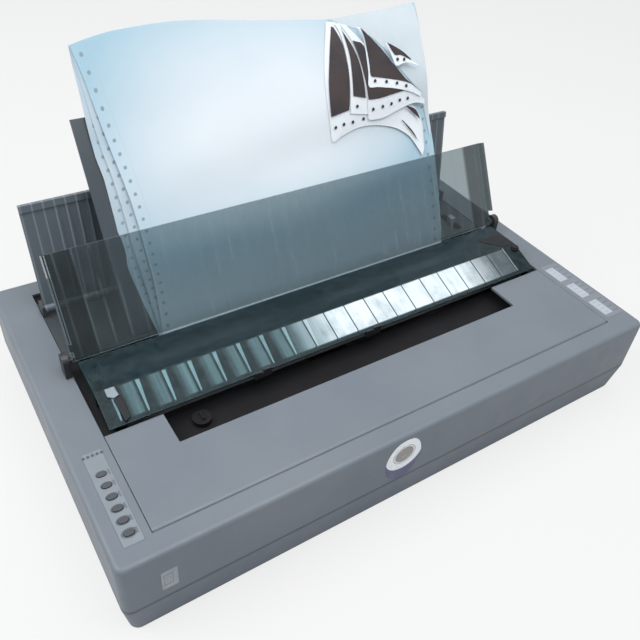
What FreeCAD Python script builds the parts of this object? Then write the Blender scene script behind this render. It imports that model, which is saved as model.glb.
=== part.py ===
import FreeCAD, Part
import math
import os
import re
import Sketcher

# Wide carriage dot matrix printer with a continuous form loaded, in millimetres.
# X runs to the right, Y to the back and Z up, from the middle of the footprint.

doc = FreeCAD.newDocument("printer")
sheet = doc.addObject("Spreadsheet::Sheet", "Sizes")

SIZES = {
    # case
    "case_side_room": 110.5,
    "case_height": 99,
    "lower_height": 35.5,
    "foot_height": 1.5,
    "foot_radius": 9,
    "foot_inset": 34,
    "wall": 3,
    "bottom_inset": 5,
    "corner_radius": 9,
    "deck_edge_radius": 5,
    "seat_gap": 0.3,
    "running_gap": 0.06,
    "cut_over": 1,
    # bay in the deck and its front lid
    "side_rim": 37,
    "front_rim": 21,
    "rear_rim": 25,
    "bay_wall_drop": 34,
    "flange_width": 12,
    "lid_gap": 0.6,
    "lid_depth": 108.4,
    "lid_thickness": 3,
    "lid_barrel_radius": 4,
    "lid_pin_radius": 2.2,
    "lid_pin_length": 9,
    "notch_left_rim": 54.4,
    "notch_right_rim": 75.4,
    "notch_depth": 36.6,
    # clear tear-off cover
    "bar_gap": 2.4,
    "bar_bottom_rise": 3,
    "bar_top_rise": 16.5,
    "bar_slope_depth": 35.6,
    "ledge_depth": 44,
    "bar_thickness": 2.5,
    "bar_lip_height": 13,
    "bar_rib_thickness": 1.6,
    "bar_rib_depth": 5,
    "bar_panels": 19,
    "bar_left_blank": 10.6,
    "bar_right_blank": 22.9,
    "bar_end_width": 16,
    "tear_edge_thickness": 1,
    "tear_edge_height": 6,
    "hook_width": 18,
    "hook_depth": 4,
    "hook_height": 10,
    "hook_left": 118,
    "hook_right": 14,
    # upright smoked cover
    "pivot_back": 7,
    "pivot_rise": 2,
    "cover_angle": 29,
    "cover_height": 98,
    "cover_tail": 4.5,
    "cover_thickness": 2.5,
    "cover_side_gap": 3,
    "wing_depth": 9,
    "wing_start": 14,
    "cover_boss_radius": 4.5,
    "cover_pin_radius": 2,
    "cover_pin_length": 9,
    "bracket_width": 6,
    "bracket_depth": 14,
    # rear deck, paper support and ribbed guide
    "exit_slot": 17,
    "entry_slot": 17,
    "rear_deck_depth": 98,
    "rear_deck_thickness": 2.5,
    "support_setback": 3.5,
    "support_angle": 29.2,
    "support_length": 214,
    "support_overhang": 5.5,
    "support_thickness": 2.5,
    "socket_width": 24,
    "socket_jaw": 2,
    "socket_rise": 8,
    "socket_depth": 13,
    "socket_inset": 50,
    "guide_setback": 18,
    "guide_angle": 9.5,
    "guide_height": 119.5,
    "guide_side_gap": 3.4,
    "guide_thickness": 3,
    "guide_rib_pitch": 10,
    "guide_rib_width": 3,
    "guide_rib_depth": 1.2,
    "guide_rib_margin": 32,
    "guide_lip_height": 7,
    "guide_lip_depth": 2,
    "guide_pin_radius": 2.5,
    "guide_pin_rise": 6,
    "guide_ear_depth": 14,
    "guide_ear_height": 13,
    # continuous form
    "form_width": 389,
    "form_offset": 7.5,
    "ply_thickness": 0.5,
    "ply_pitch": 0.9,
    "ply_count": 3,
    "form_rise": 294,
    "flap_lift": 1.2,
    # printing line
    "platen_setback": 24,
    "platen_drop": 40.5,
    "platen_radius": 17,
    "platen_shaft_radius": 4,
    "platen_spare": 21,
    "frame_inset": 24,
    "frame_thickness": 2,
    "frame_reach": 166,
    "frame_top_gap": 5,
    "base_thickness": 2,
    "bush_radius": 7,
    "bush_length": 5,
    # gears
    "gear_module": 1,
    "gear_width": 5,
    "gear_backlash": 0.12,
    "platen_teeth": 40,
    "idler_teeth": 24,
    "tractor_teeth": 30,
    "pinion_teeth": 12,
    "train_angle": 5,
    "feed_motor_radius": 15,
    "feed_motor_length": 26,
    "motor_shaft_radius": 1.5,
    # tractors
    "tractor_shaft_radius": 4,
    "guide_rod_radius": 3,
    "guide_rod_drop": 24,
    "tractor_width": 14,
    "tractor_depth": 46,
    "tractor_body_height": 34,
    "tractor_pocket_width": 8,
    "pin_wheel_radius": 9,
    "pin_height": 2.5,
    "pin_radius": 1.7,
    "pins_per_wheel": 8,
    "gate_thickness": 2,
    "gate_rise": 1.5,
    "gate_pin_radius": 1.2,
    "tractor_inset": 7,
    # carriage and print head
    "rod_reach": 70,
    "rod_drop": 22,
    "carriage_rod_radius": 5,
    "carriage_width": 44,
    "carriage_depth": 30,
    "carriage_height": 20,
    "arm_thickness": 5,
    "front_rail_reach": 54,
    "front_rail_width": 14,
    "front_rail_thickness": 2,
    "head_radius": 15,
    "head_length": 26,
    "head_fins": 5,
    "fin_thickness": 1.6,
    "nose_width": 9,
    "nose_height": 14,
    # ribbon
    "cartridge_depth": 40,
    "cartridge_height": 12,
    "cartridge_reach": 96,
    "cartridge_top_drop": 14,
    "cartridge_arm_width": 12,
    "knob_radius": 9,
    "knob_height": 5,
    "knob_inset": 64,
    "ribbon_height": 13,
    "ribbon_thickness": 0.4,
    "ribbon_gap": 2.6,
    # belt drive
    "belt_reach": 20,
    "belt_drop": 8,
    "belt_width": 6,
    "belt_thickness": 1.4,
    "pulley_radius": 8,
    "pulley_inset": 30,
    "carriage_motor_radius": 15,
    "carriage_motor_length": 22,
    # levers
    "lever_thickness": 3,
    "lever_width": 9,
    "lever_length": 44,
    "lever_grip": 7,
    "lever_pivot_radius": 2.5,
    "gap_lever_setback": 20,
    "gap_lever_drop": 16,
    "release_lever_reach": 26,
    "release_lever_rise": 3,
    "lever_slot": 36,
    # electronics
    "board_width": 330,
    "board_depth": 38,
    "board_thickness": 1.6,
    "board_post_height": 9,
    "board_post_radius": 4,
    "board_edge": 6,
    "chip_width": 22,
    "chip_height": 3,
    "supply_width": 110,
    "supply_depth": 38,
    "supply_height": 41,
    "supply_inset": 155,
    "supply_room": 56,
    "inlet_width": 27,
    "inlet_height": 20,
    "inlet_depth": 18,
    "inlet_inset": 100,
    "socket_rise_from_seam": 12,
    "inlet_wall": 2,
    "blade_width": 2,
    "switch_width": 20,
    "switch_height": 14,
    "switch_depth": 12,
    "switch_inset": 145,
    "rocker_gap": 0.6,
    "rocker_pin_radius": 1.3,
    "port_width": 62,
    "port_height": 15,
    "port_depth": 14,
    "port_inset": 185,
    # panels, buttons and badges
    "label_inset": 22,
    "label_width": 17,
    "label_setback": 19,
    "label_length": 100,
    "label_thickness": 0.5,
    "label_recess": 0.4,
    "button_radius": 4.2,
    "button_flat": 3,
    "button_height": 2.4,
    "button_proud": 0.9,
    "button_pitch": 12.6,
    "button_setback": 11,
    "button_count": 6,
    "lamp_radius": 1.3,
    "right_label_inset": 19,
    "right_label_width": 26,
    "right_label_setback": 26,
    "right_label_length": 105,
    "badge_place": 32,
    "badge_width": 41,
    "badge_height": 56,
    "badge_drop": 0.75,
    "badge_recess": 1,
    "sticker_inset": 40,
    "sticker_width": 14,
    "sticker_height": 25,
    "sticker_rise": 26,
    "sticker_thickness": 0.5,
    "screw_radius": 1.8,
    "screw_head_radius": 3.6,
    "screw_head_height": 2.2,
    "screw_boss_radius": 6,
    "screw_inset_x": 22,
    "screw_inset_y": 26,
    "screw_bite": 14,
}

# Places worked out from the sizes above, as formulas.
PLACES = {
    "seam": "foot_height + lower_height",
    "deck": "foot_height + case_height",
    "half_width": "form_width / 2 + case_side_room",
    "bay_depth": "lid_gap + lid_depth + bar_gap + bar_slope_depth + ledge_depth + pivot_back + exit_slot"
                 " + rear_deck_depth + entry_slot",
    "half_depth": "(front_rim + bay_depth + rear_rim) / 2",
    "floor_top": "foot_height + wall",
    "bay_half": "half_width - side_rim",
    "bay_front": "front_rim - half_depth",
    "bay_rear": "half_depth - rear_rim",
    "flange_top": "deck - lid_thickness",
    "lid_front": "bay_front + lid_gap",
    "lid_rear": "lid_front + lid_depth",
    "lid_half": "bay_half - lid_gap",
    "notch_left": "lid_half - notch_left_rim",
    "notch_right": "lid_half - notch_right_rim",
    "lid_axis_y": "lid_front + lid_barrel_radius",
    "lid_axis_z": "deck - lid_barrel_radius",
    "bar_front": "lid_rear + bar_gap",
    "bar_bottom": "deck + bar_bottom_rise",
    "bar_top": "deck + bar_top_rise",
    "bar_crest": "bar_front + bar_slope_depth",
    "bar_rear": "bar_crest + ledge_depth",
    "cover_half": "bay_half - cover_side_gap",
    "bar_half": "cover_half - cover_thickness - 2 * lid_gap",
    "pivot_y": "bar_rear + pivot_back",
    "pivot_z": "bar_top + pivot_rise",
    "rear_deck_front": "pivot_y + exit_slot",
    "rear_deck_rear": "bay_rear - entry_slot",
    "rear_deck_top": "flange_top + rear_deck_thickness",
    "support_y": "rear_deck_front + support_setback",
    "guide_y": "rear_deck_rear - guide_setback",
    "guide_base": "rear_deck_top + seat_gap",
    "guide_half": "lid_half - guide_side_gap",
    "support_half": "form_width / 2 + support_overhang",
    "socket_place": "support_half - socket_inset",
    "platen_y": "bar_rear + platen_setback",
    "platen_height": "deck - platen_drop",
    "platen_length": "form_width + platen_spare",
    "base_top": "floor_top + base_thickness",
    "frame_top": "flange_top - frame_top_gap",
    "frame_place": "bay_half - frame_inset",
    "frame_outer": "frame_place + frame_thickness",
    "frame_front": "frame_reach - platen_y",
    "frame_rear": "half_depth - supply_room",
    "board_y": "(bottom_inset + wall - half_depth - frame_front - board_depth) / 2",
    "gear_place": "frame_outer + bush_length - frame_thickness + lid_gap",
    "idler_run": "gear_module * (platen_teeth + idler_teeth) / 2",
    "tractor_run": "idler_run + gear_module * (idler_teeth + tractor_teeth) / 2",
    "pinion_run": "gear_module * (platen_teeth + pinion_teeth) / 2",
    "pinion_angle": "train_angle + 26 * 360 / platen_teeth",
    "idler_y": "platen_y + idler_run * cos(train_angle)",
    "idler_z": "platen_height + idler_run * sin(train_angle)",
    "tractor_y": "platen_y + tractor_run * cos(train_angle)",
    "tractor_z": "platen_height + tractor_run * sin(train_angle)",
    "pinion_y": "platen_y + pinion_run * cos(pinion_angle)",
    "pinion_z": "platen_height + pinion_run * sin(pinion_angle)",
    "guide_rod_z": "tractor_z - guide_rod_drop",
    "form_left": "form_width / 2 - form_offset",
    "form_right": "form_width / 2 + form_offset",
    "paper_front": "platen_y - platen_radius - seat_gap - ply_count * ply_pitch",
    "cartridge_top": "flange_top - cartridge_top_drop",
    "arm_x": "frame_place - lid_gap - cartridge_arm_width",
    "gate_z": "tractor_z + pin_wheel_radius + pin_height + gate_rise",
    "cartridge_rear": "platen_y - cartridge_reach",
    "cartridge_front": "cartridge_rear - cartridge_depth",
    "knob_place": "frame_place - knob_inset",
    "ribbon_y": "paper_front - ribbon_gap + seat_gap",
    "nose_tip": "ribbon_y - ribbon_thickness - seat_gap",
    "rod_y": "platen_y - rod_reach",
    "rod_height": "platen_height - rod_drop",
    "front_rail_y": "rod_y - front_rail_reach",
    "belt_y": "rod_y - belt_reach",
    "belt_height": "rod_height - belt_drop",
    "pulley_place": "frame_place - pulley_inset",
    "gap_lever_y": "gap_lever_setback - frame_front",
    "gap_lever_height": "platen_height - gap_lever_drop",
    "release_lever_y": "platen_y + release_lever_reach",
    "release_lever_height": "platen_height + release_lever_rise",
    "supply_place": "half_width - supply_inset",
    "inlet_place": "half_width - inlet_inset",
    "switch_place": "half_width - switch_inset",
    "port_place": "half_width - port_inset",
    "socket_level": "seam + socket_rise_from_seam",
    "label_place": "half_width - label_inset",
    "label_front": "half_depth - label_setback",
    "button_front": "label_front - button_setback",
    "right_label_place": "half_width - right_label_inset",
    "right_label_front": "half_depth - right_label_setback",
    "badge_level": "(seam + deck) / 2 - badge_drop",
    "sticker_place": "half_width - sticker_inset",
    "sticker_level": "seam + sticker_rise",
}


def formula(text):
    """The text with every place spelled out and every size read from the sheet."""
    def spell(match):
        word = match.group()
        if word in SIZES:
            return "Sizes." + word
        if word in PLACES:
            return "(" + formula(PLACES[word]) + ")"
        return word
    return re.sub(r"[a-z][a-z_]*", spell, text)


for row, (alias, number) in enumerate(SIZES.items(), 1):
    sheet.set("A%d" % row, alias)
    sheet.set("B%d" % row, str(number))
    sheet.setAlias("B%d" % row, alias)
# Each place sits in a hidden length too, so that a free shape can read its number.
ruler = doc.addObject("App::FeaturePython", "Ruler")
doc.recompute()
for alias in PLACES:
    ruler.addProperty("App::PropertyFloat", alias)
    ruler.setExpression(alias, formula(alias))
doc.recompute()


def number(alias):
    """A size or place as a plain number, for shapes that are made by a function."""
    if alias in SIZES:
        return float(sheet.get(alias))
    return float(getattr(ruler, alias))


def bind(thing, **formulas):
    """Ties the properties of an object to the sheet."""
    for name, text in formulas.items():
        thing.setExpression(name.replace("__", "."), formula(text))


def put(thing, x="0", y="0", z="0"):
    """Ties the place of an object to the sheet."""
    bind(thing, Placement__Base__x=x, Placement__Base__y=y, Placement__Base__z=z)
    return thing


def lean(thing, angle, x="0", y="0", z="0"):
    """Tips an object about X by a bound angle: a positive one tips its top to the front."""
    thing.Placement = FreeCAD.Placement(FreeCAD.Vector(), FreeCAD.Rotation(FreeCAD.Vector(1, 0, 0), 1))
    bind(thing, Placement__Rotation__Angle=angle)
    return put(thing, x, y, z)


def box(x, y, z, width, depth, height):
    """A box from its low corner and its three sizes."""
    thing = doc.addObject("Part::Box", "box")
    bind(thing, Length=width, Width=depth, Height=height)
    return put(thing, x, y, z)


def rod(axis, x, y, z, radius, length):
    """A cylinder that starts at a point and runs along X, Y or Z."""
    turns = {"X": ((0, 1, 0), 90), "Y": ((1, 0, 0), -90), "Z": ((0, 0, 1), 0)}
    thing = doc.addObject("Part::Cylinder", "rod")
    direction, angle = turns[axis]
    thing.Placement.Rotation = FreeCAD.Rotation(FreeCAD.Vector(*direction), angle)
    bind(thing, Radius=radius, Height=length)
    return put(thing, x, y, z)


def cut(base, *tools):
    """The base with one or more tools taken away."""
    thing = doc.addObject("Part::Cut", "cut")
    thing.Base = base
    thing.Tool = tools[0] if len(tools) == 1 else join(*tools)
    return thing


def join(*pieces):
    """Pieces fused into one solid."""
    thing = doc.addObject("Part::MultiFuse", "join")
    thing.Shapes = list(pieces)
    return thing


def group(*pieces):
    """Separate solids that share one node."""
    thing = doc.addObject("Part::Compound", "group")
    thing.Links = list(pieces)
    return thing


def free(shape):
    """A shape that Part's own functions made."""
    thing = doc.addObject("Part::Feature", "shape")
    thing.Shape = shape
    return thing


nodes = []


def node(name, thing):
    """Gives a finished sub-part its name."""
    thing.Label = name
    nodes.append(thing)
    return thing


def body_of(name):
    return doc.addObject("PartDesign::Body", name)


def outline(body, role, level, corners):
    """A closed sketch on an origin plane of the body, its corners tied to the sheet."""
    sketch = body.newObject("Sketcher::SketchObject", "outline")
    plane = [part for part in body.Origin.OriginFeatures if part.Role == role][0]
    sketch.AttachmentSupport = (plane, [""])
    sketch.MapMode = "FlatFace"
    bind(sketch, AttachmentOffset__Base__z=level)
    count = len(corners)
    start = [FreeCAD.Vector(math.cos(2 * math.pi * i / count), math.sin(2 * math.pi * i / count), 0)
             for i in range(count)]
    for i in range(count):
        sketch.addGeometry(Part.LineSegment(start[i], start[(i + 1) % count]), False)
    for i in range(count):
        sketch.addConstraint(Sketcher.Constraint("Coincident", i, 2, (i + 1) % count, 1))
    for i, corner in enumerate(corners):
        for direction, place, text in (("DistanceX", start[i].x, corner[0]),
                                       ("DistanceY", start[i].y, corner[1])):
            index = sketch.addConstraint(Sketcher.Constraint(direction, -1, 1, i, 1, place))
            sketch.setExpression("Constraints[%d]" % index, formula(text))
    doc.recompute()
    return sketch


def rectangle(x_low, y_low, x_high, y_high):
    return [(x_low, y_low), (x_high, y_low), (x_high, y_high), (x_low, y_high)]


def pad(body, sketch, length, reverse=False, taper=None):
    """Adds material under or over a sketch."""
    thing = body.newObject("PartDesign::Pad", "pad")
    thing.Profile = sketch
    thing.Reversed = reverse
    bind(thing, Length=length)
    if taper:
        bind(thing, TaperAngle=taper)
    doc.recompute()
    return thing


def pocket(body, sketch, length, reverse=False):
    """Takes material away and makes sure that some was there."""
    before = body.Shape.Volume
    thing = body.newObject("PartDesign::Pocket", "pocket")
    thing.Profile = sketch
    thing.Reversed = reverse
    bind(thing, Length=length)
    doc.recompute()
    if body.Shape.Volume > before - 1e-6:
        raise RuntimeError("a pocket of %s cut nothing" % body.Name)
    return thing


def fillet(body, feature, radius, picks):
    """Rounds the edges of a feature that the test picks."""
    names = ["Edge%d" % (i + 1) for i, edge in enumerate(feature.Shape.Edges) if picks(edge)]
    thing = body.newObject("PartDesign::Fillet", "round")
    thing.Base = (feature, names)
    bind(thing, Radius=radius)
    doc.recompute()
    return thing


def upright_edge(edge):
    first, last = edge.Vertexes[0].Point, edge.Vertexes[-1].Point
    return abs(first.z - last.z) > number("wall") and len(edge.Vertexes) == 2


# Lower case: a tray that draws in towards its bottom, with bosses for the screws.
tray = body_of("tray")
tray_base = outline(tray, "XY_Plane", "foot_height", rectangle(
    "bottom_inset - half_width", "bottom_inset - half_depth",
    "half_width - bottom_inset", "half_depth - bottom_inset"))
tray_block = pad(tray, tray_base, "lower_height", taper="atan(bottom_inset / lower_height)")
fillet(tray, tray_block, "corner_radius", upright_edge)
tray_hollow = outline(tray, "XY_Plane", "seam", rectangle(
    "bottom_inset + wall - half_width", "bottom_inset + wall - half_depth",
    "half_width - bottom_inset - wall", "half_depth - bottom_inset - wall"))
pocket(tray, tray_hollow, "lower_height - wall")
SCREW_SIDES = [(-1, -1), (1, -1), (1, 1), (-1, 1)]


def side(sign, text):
    return text if sign > 0 else "-(" + text + ")"


def at_screws(radius, z, height):
    """One cylinder at each of the four case screws."""
    return [rod("Z", side(sx, "half_width - screw_inset_x"), side(sy, "half_depth - screw_inset_y"),
                z, radius, height) for sx, sy in SCREW_SIDES]


bosses = at_screws("screw_boss_radius", "floor_top - seat_gap", "lower_height - wall + seat_gap")
posts = [rod("Z", side(sx, "board_width / 2 - board_edge"), y, "floor_top - seat_gap",
             "board_post_radius", "board_post_height + seat_gap")
         for sx in (-1, 1) for y in ("board_y + board_edge", "board_y + board_depth - board_edge")]
counterbores = at_screws("screw_head_radius + seat_gap", "foot_height - cut_over",
                         "cut_over + screw_head_height + seat_gap")
screw_holes = at_screws("screw_radius + running_gap", "foot_height - cut_over",
                        "lower_height + 2 * cut_over")
socket_cuts = [
    box("inlet_place - inlet_width / 2 - seat_gap", "half_depth - inlet_depth", "socket_level - seat_gap",
        "inlet_width + 2 * seat_gap", "inlet_depth + cut_over", "inlet_height + 2 * seat_gap"),
    box("switch_place - switch_width / 2 - seat_gap", "half_depth - inlet_depth", "socket_level - seat_gap",
        "switch_width + 2 * seat_gap", "inlet_depth + cut_over", "switch_height + 2 * seat_gap"),
    box("-port_place - port_width / 2 - seat_gap", "half_depth - inlet_depth", "socket_level - seat_gap",
        "port_width + 2 * seat_gap", "inlet_depth + cut_over", "port_height + 2 * seat_gap"),
]
node("lower_case", cut(join(tray, *bosses, *posts), *counterbores, *screw_holes))

# Feet: four rubber discs under the tray, and the four case screws.
node("feet", group(*[rod("Z", side(sx, "half_width - foot_inset"),
                         side(sy, "half_depth - foot_inset - foot_inset"),
                         "0", "foot_radius", "foot_height") for sx, sy in SCREW_SIDES]))
screws = [join(head, shank) for head, shank in zip(
    at_screws("screw_head_radius", "foot_height", "screw_head_height"),
    at_screws("screw_radius", "foot_height", "lower_height + screw_bite"))]
node("case_screws", group(*screws))

# Upper case: the shell with its deck, the open bay and the cut-outs. The liner hangs round the bay.
shell = body_of("shell")
shell_base = outline(shell, "XY_Plane", "seam", rectangle(
    "-half_width", "-half_depth", "half_width", "half_depth"))
shell_block = pad(shell, shell_base, "deck - seam")
shell_round = fillet(shell, shell_block, "corner_radius", upright_edge)
fillet(shell, shell_round, "deck_edge_radius",
       lambda edge: min(corner.Z for corner in edge.Vertexes) > number("deck") - 1e-6)
shell_hollow = outline(shell, "XY_Plane", "seam", rectangle(
    "wall - half_width", "wall - half_depth", "half_width - wall", "half_depth - wall"))
pocket(shell, shell_hollow, "deck - seam - wall", reverse=True)
bay_cut = outline(shell, "XY_Plane", "deck", rectangle("-bay_half", "bay_front", "bay_half", "bay_rear"))
pocket(shell, bay_cut, "wall + cut_over")
liner_low = "deck - wall - bay_wall_drop"
bay_walls = [box(x, "bay_front - wall", liner_low, "wall", "bay_depth + 2 * wall", "bay_wall_drop")
             for x in ("-bay_half - wall", "bay_half")]
bay_walls += [box("-bay_half - wall", y, liner_low, "2 * bay_half + 2 * wall", "wall", "bay_wall_drop")
              for y in ("bay_front - wall", "bay_rear")]
flanges = [box(x, "lid_axis_y + 3 * lid_barrel_radius", "flange_top - wall", "flange_width",
               "bay_rear - lid_axis_y - 3 * lid_barrel_radius", "wall")
           for x in ("-bay_half", "bay_half - flange_width")]
upper_bosses = at_screws("screw_boss_radius", "seam", "deck - seam - wall / 2")
upper_holes = at_screws("screw_radius + running_gap", "seam - cut_over", "screw_bite + 2 * cut_over")


def lid_pin_holes():
    """The two bores for the lid's pins."""
    return [rod("X", x, "lid_axis_y", "lid_axis_z", "lid_pin_radius + running_gap", "wall + 2 * cut_over")
            for x in ("-bay_half - wall - cut_over", "bay_half - cut_over")]


label_recess = box("-label_place - label_width / 2 - running_gap", "-label_front - running_gap",
                   "deck - label_recess", "label_width + 2 * running_gap",
                   "label_length + 2 * running_gap", "label_recess + cut_over")
right_recess = box("right_label_place - right_label_width / 2 - running_gap",
                   "-right_label_front - running_gap", "deck - label_recess",
                   "right_label_width + 2 * running_gap", "right_label_length + 2 * running_gap",
                   "label_recess + cut_over")


def oval(radius_long, radius_short, length):
    """An elliptic disc that lies in the YZ or XZ plane after it is turned."""
    thing = doc.addObject("Part::Extrusion", "oval")
    edge = doc.addObject("Part::Ellipse", "ellipse")
    bind(edge, MajorRadius=radius_long, MinorRadius=radius_short)
    thing.Base = edge
    thing.DirMode = "Custom"
    thing.Dir = FreeCAD.Vector(0, 0, 1)
    thing.Solid = True
    bind(thing, LengthFwd=length)
    return thing


def front_oval(grow, depth):
    """The badge's outline on the front face, longer side up."""
    thing = oval("badge_height / 2 + " + grow, "badge_width / 2 + " + grow, depth)
    upright = FreeCAD.Rotation(FreeCAD.Vector(1, 0, 0),
                               90).multiply(FreeCAD.Rotation(FreeCAD.Vector(0, 0, 1), 90))
    thing.Placement.Rotation = upright
    return put(thing, "-badge_place", "badge_recess - half_depth", "badge_level")


BUTTON_INDEX = range(int(SIZES["button_count"]))


def button_y(index):
    return "-button_front + %d * button_pitch" % index


def key(grow, z, height):
    """The capsule shapes of the buttons in the control label."""
    keys = []
    for index in BUTTON_INDEX:
        y = button_y(index)
        ends = [rod("Z", x, y, z, "button_radius - button_flat / 2 + " + grow, height)
                for x in ("-label_place - button_flat / 2", "button_flat / 2 - label_place")]
        middle = box("-label_place - button_flat / 2",
                     y + " - button_radius + button_flat / 2 - (" + grow + ")", z,
                     "button_flat", "2 * button_radius - button_flat + 2 * (" + grow + ")", height)
        keys.append(join(middle, *ends))
    return keys


button_wells = key("seat_gap", "deck - wall - cut_over", "wall + 2 * cut_over")
sticker_recess = box("-sticker_place - sticker_width / 2 - running_gap", "-half_depth - cut_over",
                     "sticker_level - sticker_height / 2 - running_gap", "sticker_width + 2 * running_gap",
                     "cut_over + sticker_thickness", "sticker_height + 2 * running_gap")
node("upper_case", cut(join(shell, *upper_bosses), *upper_holes, *lid_pin_holes(), label_recess,
                       right_recess, front_oval("running_gap", "badge_recess + cut_over"),
                       sticker_recess, *button_wells, *socket_cuts))
node("bay_liner", cut(join(*bay_walls, *flanges), *lid_pin_holes()))

# Front lid: a flat plate with a rounded hinge barrel at its front and a long notch at its rear.
lid_plate = box("-lid_half", "lid_axis_y", "flange_top", "2 * lid_half", "lid_rear - lid_axis_y",
                "lid_thickness")
lid_barrel = rod("X", "-lid_half", "lid_axis_y", "lid_axis_z", "lid_barrel_radius", "2 * lid_half")
notch = box("-notch_left", "lid_rear - notch_depth", "flange_top - lid_barrel_radius",
            "notch_left + notch_right", "notch_depth + cut_over", "4 * lid_barrel_radius")
lid_ribs = [box(x, "lid_axis_y + lid_barrel_radius + wall", "flange_top - lid_thickness", "wall / 2",
                "lid_depth - notch_depth - 4 * lid_barrel_radius", "lid_thickness + wall / 2")
            for x in ("-notch_left", "-notch_left / 3", "notch_right / 3", "notch_right")]
lid_pins = [rod("X", x, "lid_axis_y", "lid_axis_z", "lid_pin_radius", "lid_pin_length")
            for x in ("-bay_half - wall", "bay_half + wall - lid_pin_length")]
node("front_lid", join(cut(join(lid_plate, lid_barrel, *lid_ribs), notch), *lid_pins))

# Tear-off cover: a sloped clear strip with a rib between its panels, a flat ledge and a rear lip.
bar = body_of("bar")
bar_profile = outline(bar, "YZ_Plane", "-bar_half", [
    ("bar_front", "bar_bottom"), ("bar_crest", "bar_top"), ("bar_rear", "bar_top"),
    ("bar_rear", "bar_top - bar_lip_height"), ("bar_rear - bar_thickness", "bar_top - bar_lip_height"),
    ("bar_rear - bar_thickness", "bar_top - bar_thickness"),
    ("bar_crest + bar_thickness / 4", "bar_top - bar_thickness"),
    ("bar_front + bar_thickness / 4", "bar_bottom - bar_thickness")])
pad(bar, bar_profile, "2 * bar_half")
bar_ribs = []
for index in range(int(SIZES["bar_panels"]) + 1):
    rib = body_of("bar_rib")
    rib_x = ("-bar_half + bar_left_blank - bar_rib_thickness / 2 + %d * (2 * bar_half - bar_left_blank"
             " - bar_right_blank) / bar_panels" % index)
    rib_profile = outline(rib, "YZ_Plane", rib_x, [
        ("bar_front + bar_thickness / 4", "bar_bottom - bar_thickness / 2"),
        ("bar_crest + bar_thickness / 4", "bar_top - bar_thickness / 2"),
        ("bar_crest + bar_thickness / 4", "bar_top - bar_thickness - bar_rib_depth"),
        ("bar_front + 2 * bar_rib_depth", "bar_bottom - bar_thickness / 2")])
    pad(rib, rib_profile, "bar_rib_thickness")
    bar_ribs.append(rib)
bar_ends = [box(x, "bar_crest", "flange_top", "bar_end_width", "ledge_depth - bar_thickness / 2",
                "bar_top - flange_top - bar_thickness / 2")
            for x in ("-bar_half", "bar_half - bar_end_width")]


def tear_edge():
    """The blade under the strip, which is also cut out of it."""
    return box("-frame_place", "bar_front + bar_thickness / 4 + tear_edge_thickness",
               "bar_bottom - bar_thickness / 2 - tear_edge_height", "2 * frame_place",
               "tear_edge_thickness", "tear_edge_height")


node("tear_off_cover", cut(join(bar, *bar_ribs, *bar_ends), tear_edge()))
node("tear_edge", tear_edge())


def hook(x):
    """A clip at the strip's front edge, with a base, a tab and a bent end."""
    y = "bar_front - hook_depth / 2"
    low = "bar_bottom - bar_thickness - seat_gap - hook_height / 3"
    return join(
        box(x, y, low, "hook_width", "hook_depth / 2", "hook_height / 3 + bar_thickness"),
        box(x, y, "bar_bottom - bar_thickness / 2", "hook_width * 2 / 5", "hook_depth / 2",
            "hook_height / 3"),
        box(x + " + hook_width / 2", y, "bar_bottom - bar_thickness / 2", "hook_width / 2", "hook_depth / 2",
            "hook_height / 2"),
        box(x, y, low, "hook_width / 3", "hook_depth * 3 / 4", "hook_height / 3"))


node("tear_cover_hooks", group(hook("-hook_left"), hook("hook_right")))

# Upright smoked cover: a leaning panel with side wings that turns on two pins at its lower corners.
panel_parts = [box("-cover_half", "-cover_thickness / 2", "-cover_tail", "2 * cover_half",
                   "cover_thickness", "cover_height + cover_tail")]
for x in ("-cover_half", "cover_half - cover_thickness"):
    panel_parts.append(box(x, "-wing_depth", "wing_start", "cover_thickness", "wing_depth",
                           "cover_height - wing_start"))
    panel_parts.append(rod("X", x, "0", "0", "cover_boss_radius", "cover_thickness"))
for x in ("cover_thickness - cover_half - cover_pin_length", "cover_half - cover_thickness"):
    panel_parts.append(rod("X", x, "0", "0", "cover_pin_radius", "cover_pin_length"))
node("upright_cover", lean(join(*panel_parts), "-cover_angle", "0", "pivot_y", "pivot_z"))
brackets = []
for x in ("-bay_half - lid_gap - bracket_width", "bay_half + lid_gap"):
    block = box(x, "pivot_y - bracket_depth / 2", "deck", "bracket_width", "bracket_depth",
                "pivot_z - deck")
    head = rod("X", x, "pivot_y", "pivot_z", "bracket_depth / 2", "bracket_width")
    bore = rod("X", x + " - cut_over", "pivot_y", "pivot_z", "cover_pin_radius + running_gap",
               "bracket_width + 2 * cut_over")
    brackets.append(cut(join(block, head), bore))
node("cover_pivot_brackets", group(*brackets))

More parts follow.
